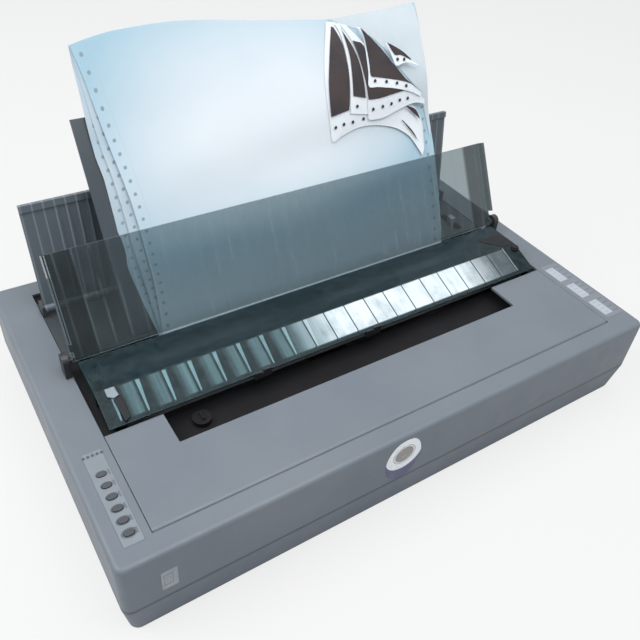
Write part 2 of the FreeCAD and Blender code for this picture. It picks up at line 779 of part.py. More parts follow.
# Rear deck: the plate behind the exit slot, with two sockets for the support and ears for the guide.
rear_plate = box("-lid_half", "rear_deck_front", "flange_top", "2 * lid_half", "rear_deck_depth",
                 "rear_deck_thickness")
sockets = []
for sign in (-1, 1):
    x = side(sign, "socket_place") + " - socket_width / 2"
    block = box(x, "support_y - socket_jaw", "rear_deck_top - seat_gap", "socket_width", "socket_depth",
                "socket_rise + seat_gap")
    slot = group(box(x + " - cut_over", "-seat_gap", "0", "socket_width + 2 * cut_over",
                     "support_thickness + 2 * seat_gap", "3 * socket_rise"))
    sockets.append(cut(block, lean(slot, "-support_angle", "0", "support_y", "rear_deck_top")))
lever_slot = box("frame_place - 3 * lever_thickness", "release_lever_y - lever_slot / 2",
                 "flange_top - cut_over", "4 * lever_thickness", "lever_slot",
                 "rear_deck_thickness + 2 * cut_over")
ears = []
for x in ("-lid_half", "guide_half + seat_gap"):
    ear = box(x, "guide_y - guide_ear_depth / 2", "rear_deck_top - seat_gap", "guide_side_gap - seat_gap",
              "guide_ear_depth", "guide_ear_height + seat_gap")
    bore = rod("X", x + " - cut_over", "guide_y", "guide_base + guide_pin_rise",
               "guide_pin_radius + running_gap", "guide_side_gap + 2 * cut_over")
    ears.append(cut(ear, bore))
node("rear_deck", join(cut(rear_plate, lever_slot), *sockets, *ears))

# Paper support: a tall plain panel in the two sockets, parallel to the form.
support = group(box("-support_half", "0", "support_thickness * tan(support_angle) + seat_gap",
                    "2 * support_half", "support_thickness", "support_length"))
node("paper_support", lean(support, "-support_angle", "0", "support_y", "rear_deck_top"))

# Rear guide: a ribbed panel with a raised lip, turning on pins near its base.
guide_parts = [
    box("-guide_half", "-guide_thickness / 2", "-guide_pin_rise / 2 - guide_pin_radius / 2",
        "2 * guide_half", "guide_thickness", "guide_height - guide_pin_rise / 2"),
    box("-guide_half", "-guide_thickness / 2 - guide_lip_depth",
        "guide_height - guide_pin_rise - guide_lip_height", "2 * guide_half",
        "guide_thickness + guide_lip_depth", "guide_lip_height"),
    rod("X", "-guide_half", "0", "0", "guide_pin_rise - guide_pin_radius / 2", "2 * guide_half")]
rib_count = int((number("guide_half") - number("guide_rib_margin")) / number("guide_rib_pitch"))
for index in range(-rib_count, rib_count + 1):
    guide_parts.append(box("%d * guide_rib_pitch - guide_rib_width / 2" % index,
                           "-guide_thickness / 2 - guide_rib_depth", "guide_pin_rise", "guide_rib_width",
                           "guide_thickness", "guide_height - 2 * guide_pin_rise - guide_lip_height"))
guide_parts.append(rod("X", "-lid_half", "0", "0", "guide_pin_radius", "2 * lid_half"))
node("rear_guide", lean(join(*guide_parts), "-guide_angle", "0", "guide_y", "guide_base + guide_pin_rise"))

# Continuous form: plies that leave the print line, pass the exit slot and lean on the support.
# An edge point has a share of the form's rise, and a share of the way from the cover's plane to the
# support's plane at that height.
LEFT_EDGE_SHARES = [(0.13, 0.6), (0.245, 0.755), (0.345, 0.795), (0.46, 0.806), (0.58, 0.79),
                    (0.72, 0.792), (0.855, 0.771), (0.97, 0.781)]
RIGHT_EDGE_SHARES = [(0.13, 0.6), (0.3, 0.295), (0.49, 0.138), (0.633, 0.128), (0.765, -0.09),
                     (0.885, -0.053), (0.95, 0.024), (1, 0.128)]


def plane_y(foot_y, foot_z, angle, z):
    """How far back a leaning plane lies at a height."""
    return number(foot_y) + (z - number(foot_z)) * math.tan(math.radians(number(angle)))


def edge_band(x, shares, shift, thickness):
    """The section of one ply at one side edge: two smooth lines a thickness apart."""
    front = [FreeCAD.Vector(x, number("paper_front") + shift, number("platen_height"))]
    for rise_share, gap_share in shares:
        z = number("platen_height") + rise_share * number("form_rise")
        cover_y = plane_y("pivot_y", "pivot_z", "cover_angle", z)
        support_y = plane_y("support_y", "rear_deck_top", "support_angle", z)
        front.append(FreeCAD.Vector(x, cover_y + gap_share * (support_y - cover_y) + shift, z))
    back = [point + FreeCAD.Vector(0, thickness, 0) for point in front]
    front_line, back_line = Part.BSplineCurve(), Part.BSplineCurve()
    front_line.interpolate(front)
    back_line.interpolate(back)
    return Part.Wire([front_line.toShape(), Part.makeLine(front[-1], back[-1]),
                      back_line.toShape().reversed(), Part.makeLine(back[0], front[0])])


def ply_shape(shift):
    """A ply of the form, moved to the back by a shift."""
    left = edge_band(-number("form_left"), LEFT_EDGE_SHARES, shift, number("ply_thickness"))
    right = edge_band(number("form_right"), RIGHT_EDGE_SHARES, shift, number("ply_thickness"))
    return Part.makeLoft([left, right], True, True)


plies = [free(ply_shape(index * number("ply_pitch"))) for index in range(int(SIZES["ply_count"]))]
node("form_plies", group(*plies))

# Peeled corners at the form's top right: each flap lies in front of the ply and of the flap before it.
# An outline follows shares of the form's width and rise.
FLAP_SHARES = [
    [(0.668, 0.96), (0.628, 0.762), (0.623, 0.63), (0.776, 0.637), (0.86, 0.607), (0.947, 0.504),
     (0.975, 0.55)],
    [(0.684, 0.95), (0.627, 0.711), (0.752, 0.72), (0.957, 0.621), (0.975, 0.65)],
    [(0.71, 0.94), (0.69, 0.75), (0.879, 0.74), (0.936, 0.7), (0.975, 0.73)],
    [(0.76, 0.93), (0.75, 0.8), (0.86, 0.81), (0.917, 0.78), (0.975, 0.8)],
]


def flap(index):
    """One folded corner: a ply moved to the front and trimmed to an outline."""
    reach = 2 * number("half_depth")
    corners = []
    for wide_share, high_share in FLAP_SHARES[index]:
        corners.append(FreeCAD.Vector(wide_share * number("form_width") - number("form_left"), -reach,
                                      number("platen_height") + high_share * number("form_rise")))
    prism = Part.Face(Part.makePolygon(corners + corners[:1])).extrude(FreeCAD.Vector(0, 2 * reach, 0))
    return free(ply_shape(-(index + 1) * number("flap_lift")).common(prism))


node("form_flaps", group(*[flap(index) for index in range(len(FLAP_SHARES))]))

# Chassis: a steel base, two side plates with holes for the shafts, the front rail and the studs.


def side_plate(x):
    plate = box(x, "-frame_front", "base_top", "frame_thickness", "frame_front + frame_rear",
                "frame_top - base_top")
    start = x + " - cut_over"
    depth = "frame_thickness + 2 * cut_over"
    corner = box(start, "-frame_front - cut_over", "cartridge_top - cartridge_height - seat_gap", depth,
                 "frame_front + bar_rear", "deck")
    holes = [rod("X", start, "platen_y", "platen_height", "bush_radius", depth),
             rod("X", start, "rod_y", "rod_height", "carriage_rod_radius", depth),
             rod("X", start, "tractor_y", "tractor_z", "tractor_shaft_radius + running_gap", depth),
             rod("X", start, "tractor_y", "guide_rod_z", "guide_rod_radius", depth)]
    if x.startswith("-"):
        holes.append(rod("X", start, "pinion_y", "pinion_z", "2 * motor_shaft_radius", depth))
    return cut(plate, corner, *holes)


chassis = [
    box("-frame_outer", "-frame_front", "floor_top", "2 * frame_outer", "frame_front + frame_rear",
        "base_thickness"),
    side_plate("-frame_outer"),
    side_plate("frame_place"),
    box("-frame_place", "front_rail_y - front_rail_width / 2",
        "rod_height + carriage_height / 2 - arm_thickness - front_rail_thickness - seat_gap",
        "2 * frame_place", "front_rail_width", "front_rail_thickness"),
    rod("X", "-gear_place - gear_width", "idler_y", "idler_z", "lever_pivot_radius - running_gap",
        "gear_place + gear_width - frame_outer"),
    box("pulley_place - pulley_radius", "belt_y - belt_width / 2 - seat_gap - wall", "base_top",
        "2 * pulley_radius", "wall", "belt_height + pulley_radius - base_top"),
    rod("Y", "pulley_place", "belt_y - belt_width / 2 - seat_gap - wall / 2", "belt_height",
        "lever_pivot_radius", "wall / 2 + seat_gap + belt_width + belt_thickness"),
    rod("X", "-frame_place", "gap_lever_y", "gap_lever_height", "lever_pivot_radius",
        "lever_thickness + 2 * seat_gap"),
    rod("X", "frame_place - lever_thickness - 2 * seat_gap", "release_lever_y", "release_lever_height",
        "lever_pivot_radius", "lever_thickness + 2 * seat_gap")]
node("chassis", join(*chassis))
node("carriage_rod", rod("X", "-frame_outer", "rod_y", "rod_height", "carriage_rod_radius",
                         "2 * frame_outer"))

# Platen: a rubber roller on a steel shaft in two bushes.
bushes = []
for x in ("-frame_outer - bush_length + 2 * frame_thickness", "frame_place - frame_thickness"):
    bore = rod("X", x + " - cut_over", "platen_y", "platen_height", "platen_shaft_radius + running_gap",
               "bush_length + 2 * cut_over")
    bushes.append(cut(rod("X", x, "platen_y", "platen_height", "bush_radius", "bush_length"), bore))
node("platen_bushes", group(*bushes))
node("platen_shaft", rod("X", "-gear_place - gear_width", "platen_y", "platen_height",
                         "platen_shaft_radius", "2 * gear_place + gear_width"))
roller_bore = rod("X", "-platen_length / 2 - cut_over", "platen_y", "platen_height", "platen_shaft_radius",
                  "platen_length + 2 * cut_over")
node("platen_roller", cut(rod("X", "-platen_length / 2", "platen_y", "platen_height", "platen_radius",
                              "platen_length"), roller_bore))


half_circle_angle = 180


def gear(teeth_alias, y, z, first_tooth, bore=None):
    """A spur gear in the YZ plane whose first tooth points at an angle, in degrees."""
    module = number("gear_module")
    teeth = int(number(teeth_alias))
    pitch_radius = module * teeth / 2
    half_turn = math.pi / teeth
    slack = number("gear_backlash") / pitch_radius
    root, tip = pitch_radius - 1.2 * module, pitch_radius + 0.9 * module
    points = []
    for index in range(teeth):
        middle = math.radians(first_tooth) + 2 * half_turn * index
        for radius, share in ((root, -0.74), (pitch_radius, -0.46), (tip, -0.2),
                              (tip, 0.2), (pitch_radius, 0.46), (root, 0.74)):
            turn = middle + half_turn * share - math.copysign(slack, share)
            points.append(FreeCAD.Vector(0, radius * math.cos(turn), radius * math.sin(turn)))
    points.append(points[0])
    blank = Part.Face(Part.makePolygon(points)).extrude(FreeCAD.Vector(number("gear_width"), 0, 0))
    if bore:
        blank = blank.cut(Part.makeCylinder(number(bore), number("gear_width"), FreeCAD.Vector(),
                                            FreeCAD.Vector(1, 0, 0)))
    return put(free(blank), "-gear_place - gear_width", y, z)


train = number("train_angle")
node("platen_gear", gear("platen_teeth", "platen_y", "platen_height", train, "platen_shaft_radius"))
node("feed_idler_gear", gear("idler_teeth", "idler_y", "idler_z",
                             train + half_circle_angle / number("idler_teeth"), "lever_pivot_radius"))
node("feed_pinion", join(
    gear("pinion_teeth", "pinion_y", "pinion_z",
         number("pinion_angle") + half_circle_angle + half_circle_angle / number("pinion_teeth")),
    rod("X", "-gear_place - gear_width", "pinion_y", "pinion_z", "motor_shaft_radius",
        "gear_place + gear_width - frame_place + feed_motor_length / 3")))
node("feed_motor", cut(
    rod("X", "-frame_place", "pinion_y", "pinion_z", "feed_motor_radius", "feed_motor_length"),
    rod("X", "-frame_place - cut_over", "pinion_y", "pinion_z", "motor_shaft_radius + running_gap",
        "cut_over + feed_motor_length / 2")))

# Tractors: two pin feeds on a driven shaft and a fixed rod, each with a hinged gate.
node("tractor_shaft", join(
    rod("X", "-gear_place - gear_width", "tractor_y", "tractor_z", "tractor_shaft_radius",
        "gear_place + gear_width + frame_outer"),
    gear("tractor_teeth", "tractor_y", "tractor_z", train + half_circle_angle)))
node("tractor_rod", rod("X", "-frame_outer", "tractor_y", "guide_rod_z", "guide_rod_radius",
                        "2 * frame_outer"))


def tractor(name, middle, outward):
    """A pin feed with its wheel, and a gate hinged on the side that faces away from the form."""
    low = middle + " - tractor_width / 2"
    block = box(low, "tractor_y - tractor_depth / 2", "tractor_z - tractor_body_height + pin_wheel_radius",
                "tractor_width", "tractor_depth", "tractor_body_height")
    well = rod("X", middle + " - tractor_pocket_width / 2", "tractor_y", "tractor_z",
               "pin_wheel_radius + pin_height + lid_gap", "tractor_pocket_width")
    bores = [rod("X", low + " - cut_over", "tractor_y", "tractor_z", "tractor_shaft_radius + running_gap",
                 "tractor_width + 2 * cut_over"),
             rod("X", low + " - cut_over", "tractor_y", "guide_rod_z", "guide_rod_radius + running_gap",
                 "tractor_width + 2 * cut_over")]
    hinge_x = "%s + %d * (tractor_width / 2 + 2 * gate_pin_radius + seat_gap)" % (middle, outward)
    ears = []
    ear_x = "%s + %d * (tractor_width / 2 + 2 * gate_pin_radius) - 2 * gate_pin_radius" % (middle, outward)
    for y in ("tractor_y - tractor_depth / 2", "tractor_y + tractor_depth / 2 - wall"):
        ear = box(ear_x, y, "tractor_z", "4 * gate_pin_radius + seat_gap", "wall",
                  "gate_z - tractor_z + 2 * gate_pin_radius")
        hole = rod("Y", hinge_x, y + " - cut_over", "gate_z", "gate_pin_radius + running_gap",
                   "wall + 2 * cut_over")
        ears.append(cut(ear, hole))
    node(name, cut(join(block, *ears), well, *bores))
    plate_width = "tractor_width + 2 * gate_pin_radius + seat_gap"
    plate_x = hinge_x if outward < 0 else hinge_x + " - (" + plate_width + ")"
    plate_y = "tractor_y - tractor_depth / 2 + wall + seat_gap"
    plate_depth = "tractor_depth - 2 * wall - 2 * seat_gap"
    node(name + "_gate", join(
        box(plate_x, plate_y, "gate_z - gate_thickness / 2", plate_width, plate_depth, "gate_thickness"),
        rod("Y", hinge_x, plate_y, "gate_z", "2 * gate_pin_radius", plate_depth),
        rod("Y", hinge_x, "tractor_y - tractor_depth / 2", "gate_z", "gate_pin_radius", "tractor_depth")))
    wheel = rod("X", middle + " - tractor_pocket_width / 2 + lid_gap", "tractor_y", "tractor_z",
                "pin_wheel_radius", "tractor_pocket_width - 2 * lid_gap")
    pins = []
    for index in range(int(SIZES["pins_per_wheel"])):
        pin = doc.addObject("Part::Cylinder", "pin")
        pin.Placement.Rotation = FreeCAD.Rotation(FreeCAD.Vector(1, 0, 0),
                                                  360 * (index + 0.5) / SIZES["pins_per_wheel"])
        bind(pin, Radius="pin_radius", Height="pin_wheel_radius + pin_height")
        pins.append(put(pin, middle, "tractor_y", "tractor_z"))
    shaft_bore = rod("X", middle + " - tractor_width", "tractor_y", "tractor_z",
                     "tractor_shaft_radius + running_gap", "2 * tractor_width")
    node(name + "_pin_wheel", cut(join(wheel, *pins), shaft_bore))


tractor("left_tractor", "tractor_inset - form_left", -1)
tractor("right_tractor", "form_right - tractor_inset", 1)

# Carriage with the print head: it slides on the rod and rests on the front rail.
block = box("-carriage_width / 2", "rod_y - carriage_depth / 2", "rod_height - carriage_height / 2",
            "carriage_width", "carriage_depth", "carriage_height")
arm = box("-carriage_width / 4", "front_rail_y", "rod_height + carriage_height / 2 - arm_thickness",
          "carriage_width / 2", "rod_y - front_rail_y", "arm_thickness")
clamp_z = "belt_height + pulley_radius + belt_thickness + seat_gap"
clamp = box("-carriage_width / 8", "belt_y - belt_width / 2", clamp_z, "carriage_width / 4", "belt_width",
            "rod_height + carriage_height / 2 - arm_thickness / 2 - (" + clamp_z + ")")
saddle = box("-carriage_width / 4", "rod_y - carriage_depth / 2", "rod_height", "carriage_width / 2",
             "carriage_depth", "platen_height - rod_height - head_radius + carriage_height / 4")
carriage_bore = rod("X", "-carriage_width", "rod_y", "rod_height", "carriage_rod_radius + running_gap",
                    "2 * carriage_width")
head_y = "nose_tip - head_length - nose_height"
head_seat = rod("Y", "0", head_y + " - cut_over", "platen_height", "head_radius",
                "head_length + 2 * cut_over")
node("carriage", cut(join(block, arm, clamp, saddle), carriage_bore, head_seat))
head_parts = [rod("Y", "0", head_y, "platen_height", "head_radius - fin_thickness", "head_length")]
for index in range(int(SIZES["head_fins"])):
    fin_y = head_y + " + %d * (head_length - fin_thickness) / (head_fins - 1)" % index
    head_parts.append(rod("Y", "0", fin_y, "platen_height", "head_radius", "fin_thickness"))
head_parts.append(box("-nose_width / 2", head_y + " + head_length - cut_over",
                      "platen_height - nose_height / 2", "nose_width", "nose_height + cut_over",
                      "nose_height"))
node("print_head", join(*head_parts))

# Ribbon: a long cartridge with two arms, the band between them and the take-up knob.
cartridge_low = "cartridge_top - cartridge_height"
cartridge = [box("-frame_outer", "cartridge_front", cartridge_low, "2 * frame_outer", "cartridge_depth",
                 "cartridge_height")]
for x in ("-arm_x - cartridge_arm_width", "arm_x"):
    cartridge.append(box(x, "cartridge_rear - cut_over", "platen_height - ribbon_height / 2",
                         "cartridge_arm_width", "ribbon_y - cartridge_rear + cut_over",
                         "cartridge_top - platen_height + ribbon_height / 2"))
knob_y = "cartridge_rear - cartridge_depth / 2"
knob_bore = rod("Z", "-knob_place", knob_y, cartridge_low + " + cartridge_height / 3",
                "lever_pivot_radius + running_gap", "cartridge_height")
node("ribbon_cartridge", cut(join(*cartridge), knob_bore))
node("ribbon", box("-arm_x", "ribbon_y - ribbon_thickness", "platen_height - ribbon_height / 2",
                   "2 * arm_x", "ribbon_thickness", "ribbon_height"))
knob_parts = [
    rod("Z", "-knob_place", knob_y, "cartridge_top + seat_gap", "knob_radius", "knob_height"),
    rod("Z", "-knob_place", knob_y, "cartridge_top - cartridge_height / 2", "lever_pivot_radius",
        "cartridge_height / 2 + knob_height"),
    box("-knob_place - knob_radius / 8", knob_y + " - knob_radius / 2", "cartridge_top + knob_height / 2",
        "knob_radius / 4", "knob_radius", "knob_height")]
node("ribbon_knob", join(*knob_parts))

# Belt drive: a loop round two pulleys, the motor behind the left one and a post behind the right one.


def loop(radius, grow):
    """A racetrack outline round both pulleys, extruded along Y."""
    wide = number(radius) + grow
    place = number("pulley_place")
    up = FreeCAD.Vector(0, 0, 1)
    right, left = FreeCAD.Vector(place, 0, 0), FreeCAD.Vector(-place, 0, 0)
    wire = Part.Wire([
        Part.makeLine(left - up * wide, right - up * wide),
        Part.Arc(right - up * wide, right + FreeCAD.Vector(wide, 0, 0), right + up * wide).toShape(),
        Part.makeLine(right + up * wide, left + up * wide),
        Part.Arc(left + up * wide, left - FreeCAD.Vector(wide, 0, 0), left - up * wide).toShape()])
    return Part.Face(wire).extrude(FreeCAD.Vector(0, number("belt_width"), 0))


belt = free(loop("pulley_radius", number("belt_thickness") + number("running_gap")).cut(
    loop("pulley_radius", number("running_gap"))))
node("timing_belt", put(belt, "0", "belt_y - belt_width / 2", "belt_height"))


def pulley(x):
    """A belt wheel with a flange at its back."""
    wheel = rod("Y", x, "belt_y - belt_width / 2", "belt_height", "pulley_radius", "belt_width")
    flange = rod("Y", x, "belt_y + belt_width / 2", "belt_height", "pulley_radius + belt_thickness",
                 "belt_thickness")
    return join(wheel, flange)


motor_y = "belt_y - belt_width / 2 - seat_gap - carriage_motor_length"
node("idler_pulley", cut(pulley("pulley_place"), rod(
    "Y", "pulley_place", "belt_y - belt_width", "belt_height", "lever_pivot_radius + running_gap",
    "3 * belt_width")))
node("drive_pulley", join(pulley("-pulley_place"), rod(
    "Y", "-pulley_place", motor_y + " + carriage_motor_length * 2 / 3", "belt_height", "lever_pivot_radius",
    "carriage_motor_length / 3 + seat_gap + belt_width / 2")))
node("carriage_motor", cut(join(
    rod("Y", "-pulley_place", motor_y, "belt_height", "carriage_motor_radius", "carriage_motor_length"),
    box("-pulley_place - carriage_motor_radius", motor_y, "base_top", "2 * carriage_motor_radius", "wall",
        "belt_height - base_top")),
    rod("Y", "-pulley_place", motor_y + " + carriage_motor_length / 2", "belt_height",
        "lever_pivot_radius + running_gap", "carriage_motor_length")))

# Levers inside the bay: the head gap lever on the left and the paper release lever on the right.


def lever(name, x, y, z):
    """An upright arm with a grip at its top and a bored foot."""
    arm = box("0", "-lever_width / 2", "0", "lever_thickness", "lever_width", "lever_length")
    grip = box("-lever_grip / 4", "-lever_width / 2", "lever_length - lever_grip", "lever_grip",
               "lever_width", "lever_grip")
    foot = rod("X", "0", "0", "0", "lever_width / 2", "lever_thickness")
    bore = rod("X", "-cut_over", "0", "0", "lever_pivot_radius + running_gap",
               "lever_thickness + 2 * cut_over")
    node(name, put(cut(join(arm, grip, foot), bore), x, y, z))


lever("head_gap_lever", "seat_gap - frame_place", "gap_lever_y", "gap_lever_height")
lever("paper_release_lever", "frame_place - seat_gap - lever_thickness", "release_lever_y",
      "release_lever_height")

# Electronics: the main board on its posts, the power supply, the inlet, the port and the switch.
board_z = "floor_top + board_post_height"
board_parts = [box("-board_width / 2", "board_y", board_z, "board_width", "board_depth", "board_thickness")]
for index in range(6):
    board_parts.append(box("-board_width / 2 + %d * board_width / 6 + chip_width / 2" % index,
                           "board_y + chip_width / 3", board_z + " + board_thickness / 2",
                           "chip_width", "chip_width", "chip_height"))
node("main_board", join(*board_parts))
node("power_supply", box("supply_place - supply_width / 2", "frame_rear + wall", "floor_top",
                         "supply_width", "supply_depth", "supply_height - wall"))
inlet_body = box("inlet_place - inlet_width / 2", "half_depth - inlet_depth", "socket_level", "inlet_width",
                 "inlet_depth", "inlet_height")
inlet_well = box("inlet_place - inlet_width / 2 + inlet_wall", "half_depth - inlet_depth + inlet_wall",
                 "socket_level + inlet_wall", "inlet_width - 2 * inlet_wall", "inlet_depth",
                 "inlet_height - 2 * inlet_wall")
blades = [box("inlet_place + %d * inlet_width / 4 - blade_width / 2" % index,
              "half_depth - inlet_depth + inlet_wall / 2",
              "socket_level + inlet_height / 2 - 2 * blade_width", "blade_width", "inlet_depth * 2 / 3",
              "2 * blade_width") for index in (-1, 0, 1)]
inlet = join(cut(inlet_body, inlet_well), *blades)
port_body = box("-port_place - port_width / 2", "half_depth - port_depth", "socket_level", "port_width",
                "port_depth", "port_height")
port_well = box("-port_place - port_width / 2 + inlet_wall", "half_depth - port_depth + inlet_wall",
                "socket_level + inlet_wall", "port_width - 2 * inlet_wall", "port_depth",
                "port_height - 2 * inlet_wall")
port_tongue = box("-port_place - port_width / 2 + 3 * inlet_wall",
                  "half_depth - port_depth + inlet_wall / 2",
                  "socket_level + port_height / 2 - blade_width / 2", "port_width - 6 * inlet_wall",
                  "port_depth * 2 / 3", "blade_width")
node("data_port", join(cut(port_body, port_well), port_tongue))
switch_frame = box("switch_place - switch_width / 2", "half_depth - switch_depth", "socket_level",
                   "switch_width", "switch_depth", "switch_height")
switch_well = box("switch_place - switch_width / 2 + inlet_wall", "half_depth - switch_depth + inlet_wall",
                  "socket_level + inlet_wall", "switch_width - 2 * inlet_wall", "switch_depth",
                  "switch_height - 2 * inlet_wall")
rocker_y = "half_depth - switch_depth / 2"
rocker_x = "switch_place"
switch_pin_bore = rod("Z", rocker_x, rocker_y, "socket_level + inlet_wall / 4", "rocker_pin_radius",
                      "switch_height - inlet_wall / 2")
node("power_fittings", group(inlet, cut(switch_frame, switch_well, switch_pin_bore)))
rocker = doc.addObject("Part::Common", "rocker_common")
rocker.Base = box("switch_place - switch_width / 2 + inlet_wall + rocker_gap",
                  "half_depth - switch_depth + 2 * inlet_wall", "socket_level + inlet_wall + rocker_gap",
                  "switch_width - 2 * inlet_wall - 2 * rocker_gap",
                  "switch_depth - 2 * inlet_wall - rocker_gap",
                  "switch_height - 2 * inlet_wall - 2 * rocker_gap")
rocker.Tool = rod("Z", rocker_x, rocker_y, "socket_level", "switch_width / 2 - inlet_wall - rocker_gap",
                  "switch_height")
rocker_pin = rod("Z", rocker_x, rocker_y, "socket_level + inlet_wall / 4 + running_gap",
                 "rocker_pin_radius - running_gap", "switch_height - inlet_wall / 2 - 2 * running_gap")
node("power_rocker", join(rocker, rocker_pin))

# Control label with its buttons, the lamps, the right hand label, the badge and the sticker.
label_plate = box("-label_place - label_width / 2", "-label_front", "deck - label_recess", "label_width",
                  "label_length", "label_thickness")
node("control_label", cut(label_plate, *key("seat_gap", "deck - wall", "2 * wall")))
for index, cap in enumerate(key("0", "deck + button_proud - button_height", "button_height"), 1):
    node("button_%d" % index, cap)
lamps = [rod("Z", "-label_place + %d * 3 * lamp_radius" % index,
             "label_length - label_front - 3 * lamp_radius", "deck - label_recess + label_thickness",
             "lamp_radius", "label_thickness") for index in (-2, -1, 0, 1, 2)]
node("status_lamps", group(*lamps))
node("right_label", box("right_label_place - right_label_width / 2", "-right_label_front",
                        "deck - label_recess", "right_label_width", "right_label_length",
                        "label_thickness"))
node("front_badge", front_oval("0", "badge_recess"))
node("front_sticker", box("-sticker_place - sticker_width / 2", "-half_depth",
                          "sticker_level - sticker_height / 2", "sticker_width", "sticker_thickness",
                          "sticker_height"))

doc.recompute()
for thing in doc.Objects:
    if "Invalid" in thing.State or "Error" in thing.State:
        raise RuntimeError("%s (%s) failed" % (thing.Name, thing.Label))
os.makedirs("parts", exist_ok=True)
for thing in nodes:
    if thing.Shape.isNull() or not thing.Shape.isValid() or not thing.Shape.Solids:
        raise RuntimeError(thing.Label + " has no valid solid")
for thing in nodes:
    thing.Shape.exportStep("parts/" + thing.Label + ".step")
    print("%-24s %2d solids  %10.1f mm3" % (thing.Label, len(thing.Shape.Solids), thing.Shape.Volume))
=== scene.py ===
import math

import bmesh
import bpy
import numpy as np
from mathutils import Matrix, Vector


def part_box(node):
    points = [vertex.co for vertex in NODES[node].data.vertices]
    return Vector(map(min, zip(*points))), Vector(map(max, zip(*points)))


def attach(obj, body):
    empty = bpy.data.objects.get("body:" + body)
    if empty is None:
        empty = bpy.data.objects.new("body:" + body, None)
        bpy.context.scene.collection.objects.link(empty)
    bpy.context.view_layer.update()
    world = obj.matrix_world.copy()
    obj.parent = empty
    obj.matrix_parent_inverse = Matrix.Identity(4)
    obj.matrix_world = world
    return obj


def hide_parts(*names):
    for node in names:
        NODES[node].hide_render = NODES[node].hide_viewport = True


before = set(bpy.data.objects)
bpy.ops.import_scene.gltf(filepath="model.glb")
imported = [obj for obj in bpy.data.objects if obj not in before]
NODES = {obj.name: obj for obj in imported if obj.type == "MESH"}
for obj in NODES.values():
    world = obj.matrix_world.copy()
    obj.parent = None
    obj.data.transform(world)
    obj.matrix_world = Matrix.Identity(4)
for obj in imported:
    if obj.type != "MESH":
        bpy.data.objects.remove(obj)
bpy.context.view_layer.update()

MM = 0.001
SEAM_HEIGHT = 0.0392
GUIDE_RIB_PITCH = 0.0105
HOLE_PITCH = 0.0127
BUTTONS = ["button_%d" % index for index in range(1, 7)]


# ---- shader helpers
class Shader:
    """A material, or the world, whose nodes are added and linked by short calls."""

    def __init__(self, name, owner=bpy.data.materials, output="OutputMaterial"):
        self.made = owner.new(name)
        self.made.use_nodes = True
        self.tree = self.made.node_tree
        self.tree.nodes.clear()
        self.output = self.new(output)

    def new(self, kind, inputs=(), **settings):
        node = self.tree.nodes.new("ShaderNode" + kind)
        for key, value in settings.items():
            setattr(node, key, value)
        for key, value in dict(inputs).items():
            if isinstance(value, bpy.types.NodeSocket):
                self.tree.links.new(value, node.inputs[key])
            else:
                node.inputs[key].default_value = value
        return node

    def coords(self):
        return self.new("TexCoord").outputs["Object"]

    def places(self):
        """The x, y and z of the point, which are the same as in the frame, at rest."""
        return self.new("SeparateXYZ", {0: self.coords()}).outputs

    def noise(self, scale, detail=3.0, roughness=0.55, vector=None, distortion=0.0):
        made = self.new("TexNoise", {"Vector": vector or self.coords(), "Scale": scale, "Detail": detail,
                                     "Roughness": roughness, "Distortion": distortion})
        return made.outputs["Fac"]

    def streaks(self, scale, detail, roughness=0.55, turn=0.0):
        """Noise with its own scale along each axis, turned about z."""
        mapped = self.new("Mapping", {"Vector": self.coords(), "Scale": scale,
                                      "Rotation": (0.0, 0.0, turn)})
        return self.noise(1.0, detail, roughness, mapped.outputs["Vector"])

    def math(self, operation, a, b=0.0, clamp=False):
        made = self.new("Math", {0: a, 1: b}, operation=operation, use_clamp=clamp)
        return made.outputs[0]

    def times(self, a, b, clamp=False):
        return self.math("MULTIPLY", a, b, clamp)

    def share_of(self, value, middle, half):
        """How far a value lies past a middle, as a share of a half width."""
        return self.math("DIVIDE", self.math("SUBTRACT", value, middle), half)

    def span(self, value, low, high, to_low=0.0, to_high=1.0):
        made = self.new("MapRange", {"Value": value, "From Min": low, "From Max": high, "To Min": to_low,
                                     "To Max": to_high})
        return made.outputs["Result"]

    def blend(self, factor, a, b):
        made = self.new("Mix", data_type="RGBA")
        for socket, value in ((made.inputs[0], factor), (made.inputs[6], a), (made.inputs[7], b)):
            if isinstance(value, bpy.types.NodeSocket):
                self.tree.links.new(value, socket)
            elif isinstance(value, (tuple, list)):
                socket.default_value = (*value[:3], 1.0)
            else:
                socket.default_value = value
        return made.outputs[2]

    def rounded(self, radius):
        return self.new("Bevel", {"Radius": radius}, samples=4).outputs["Normal"]

    def edges(self, radius):
        """A mask of the sharp edges, from a rounded normal against the true one."""
        true_normal = self.new("NewGeometry").outputs["Normal"]
        turned = self.new("VectorMath", {0: self.rounded(radius), 1: true_normal}, operation="DOT_PRODUCT")
        return self.span(turned.outputs["Value"], 0.995, 0.86)

    def bump(self, height, strength, distance, normal=None):
        inputs = {"Height": height, "Strength": strength, "Distance": distance}
        if normal is not None:
            inputs["Normal"] = normal
        return self.new("Bump", inputs).outputs["Normal"]

    def layer(self, share, under, over):
        """A second shader over the first by a share, which may be a mask."""
        return self.new("MixShader", {0: share, 1: under.outputs[0], 2: over.outputs[0]})

    def close(self, shader):
        self.tree.links.new(shader.outputs[0], self.output.inputs["Surface"])
        return self.made

    def principled(self, inputs):
        return self.close(self.new("BsdfPrincipled", inputs))


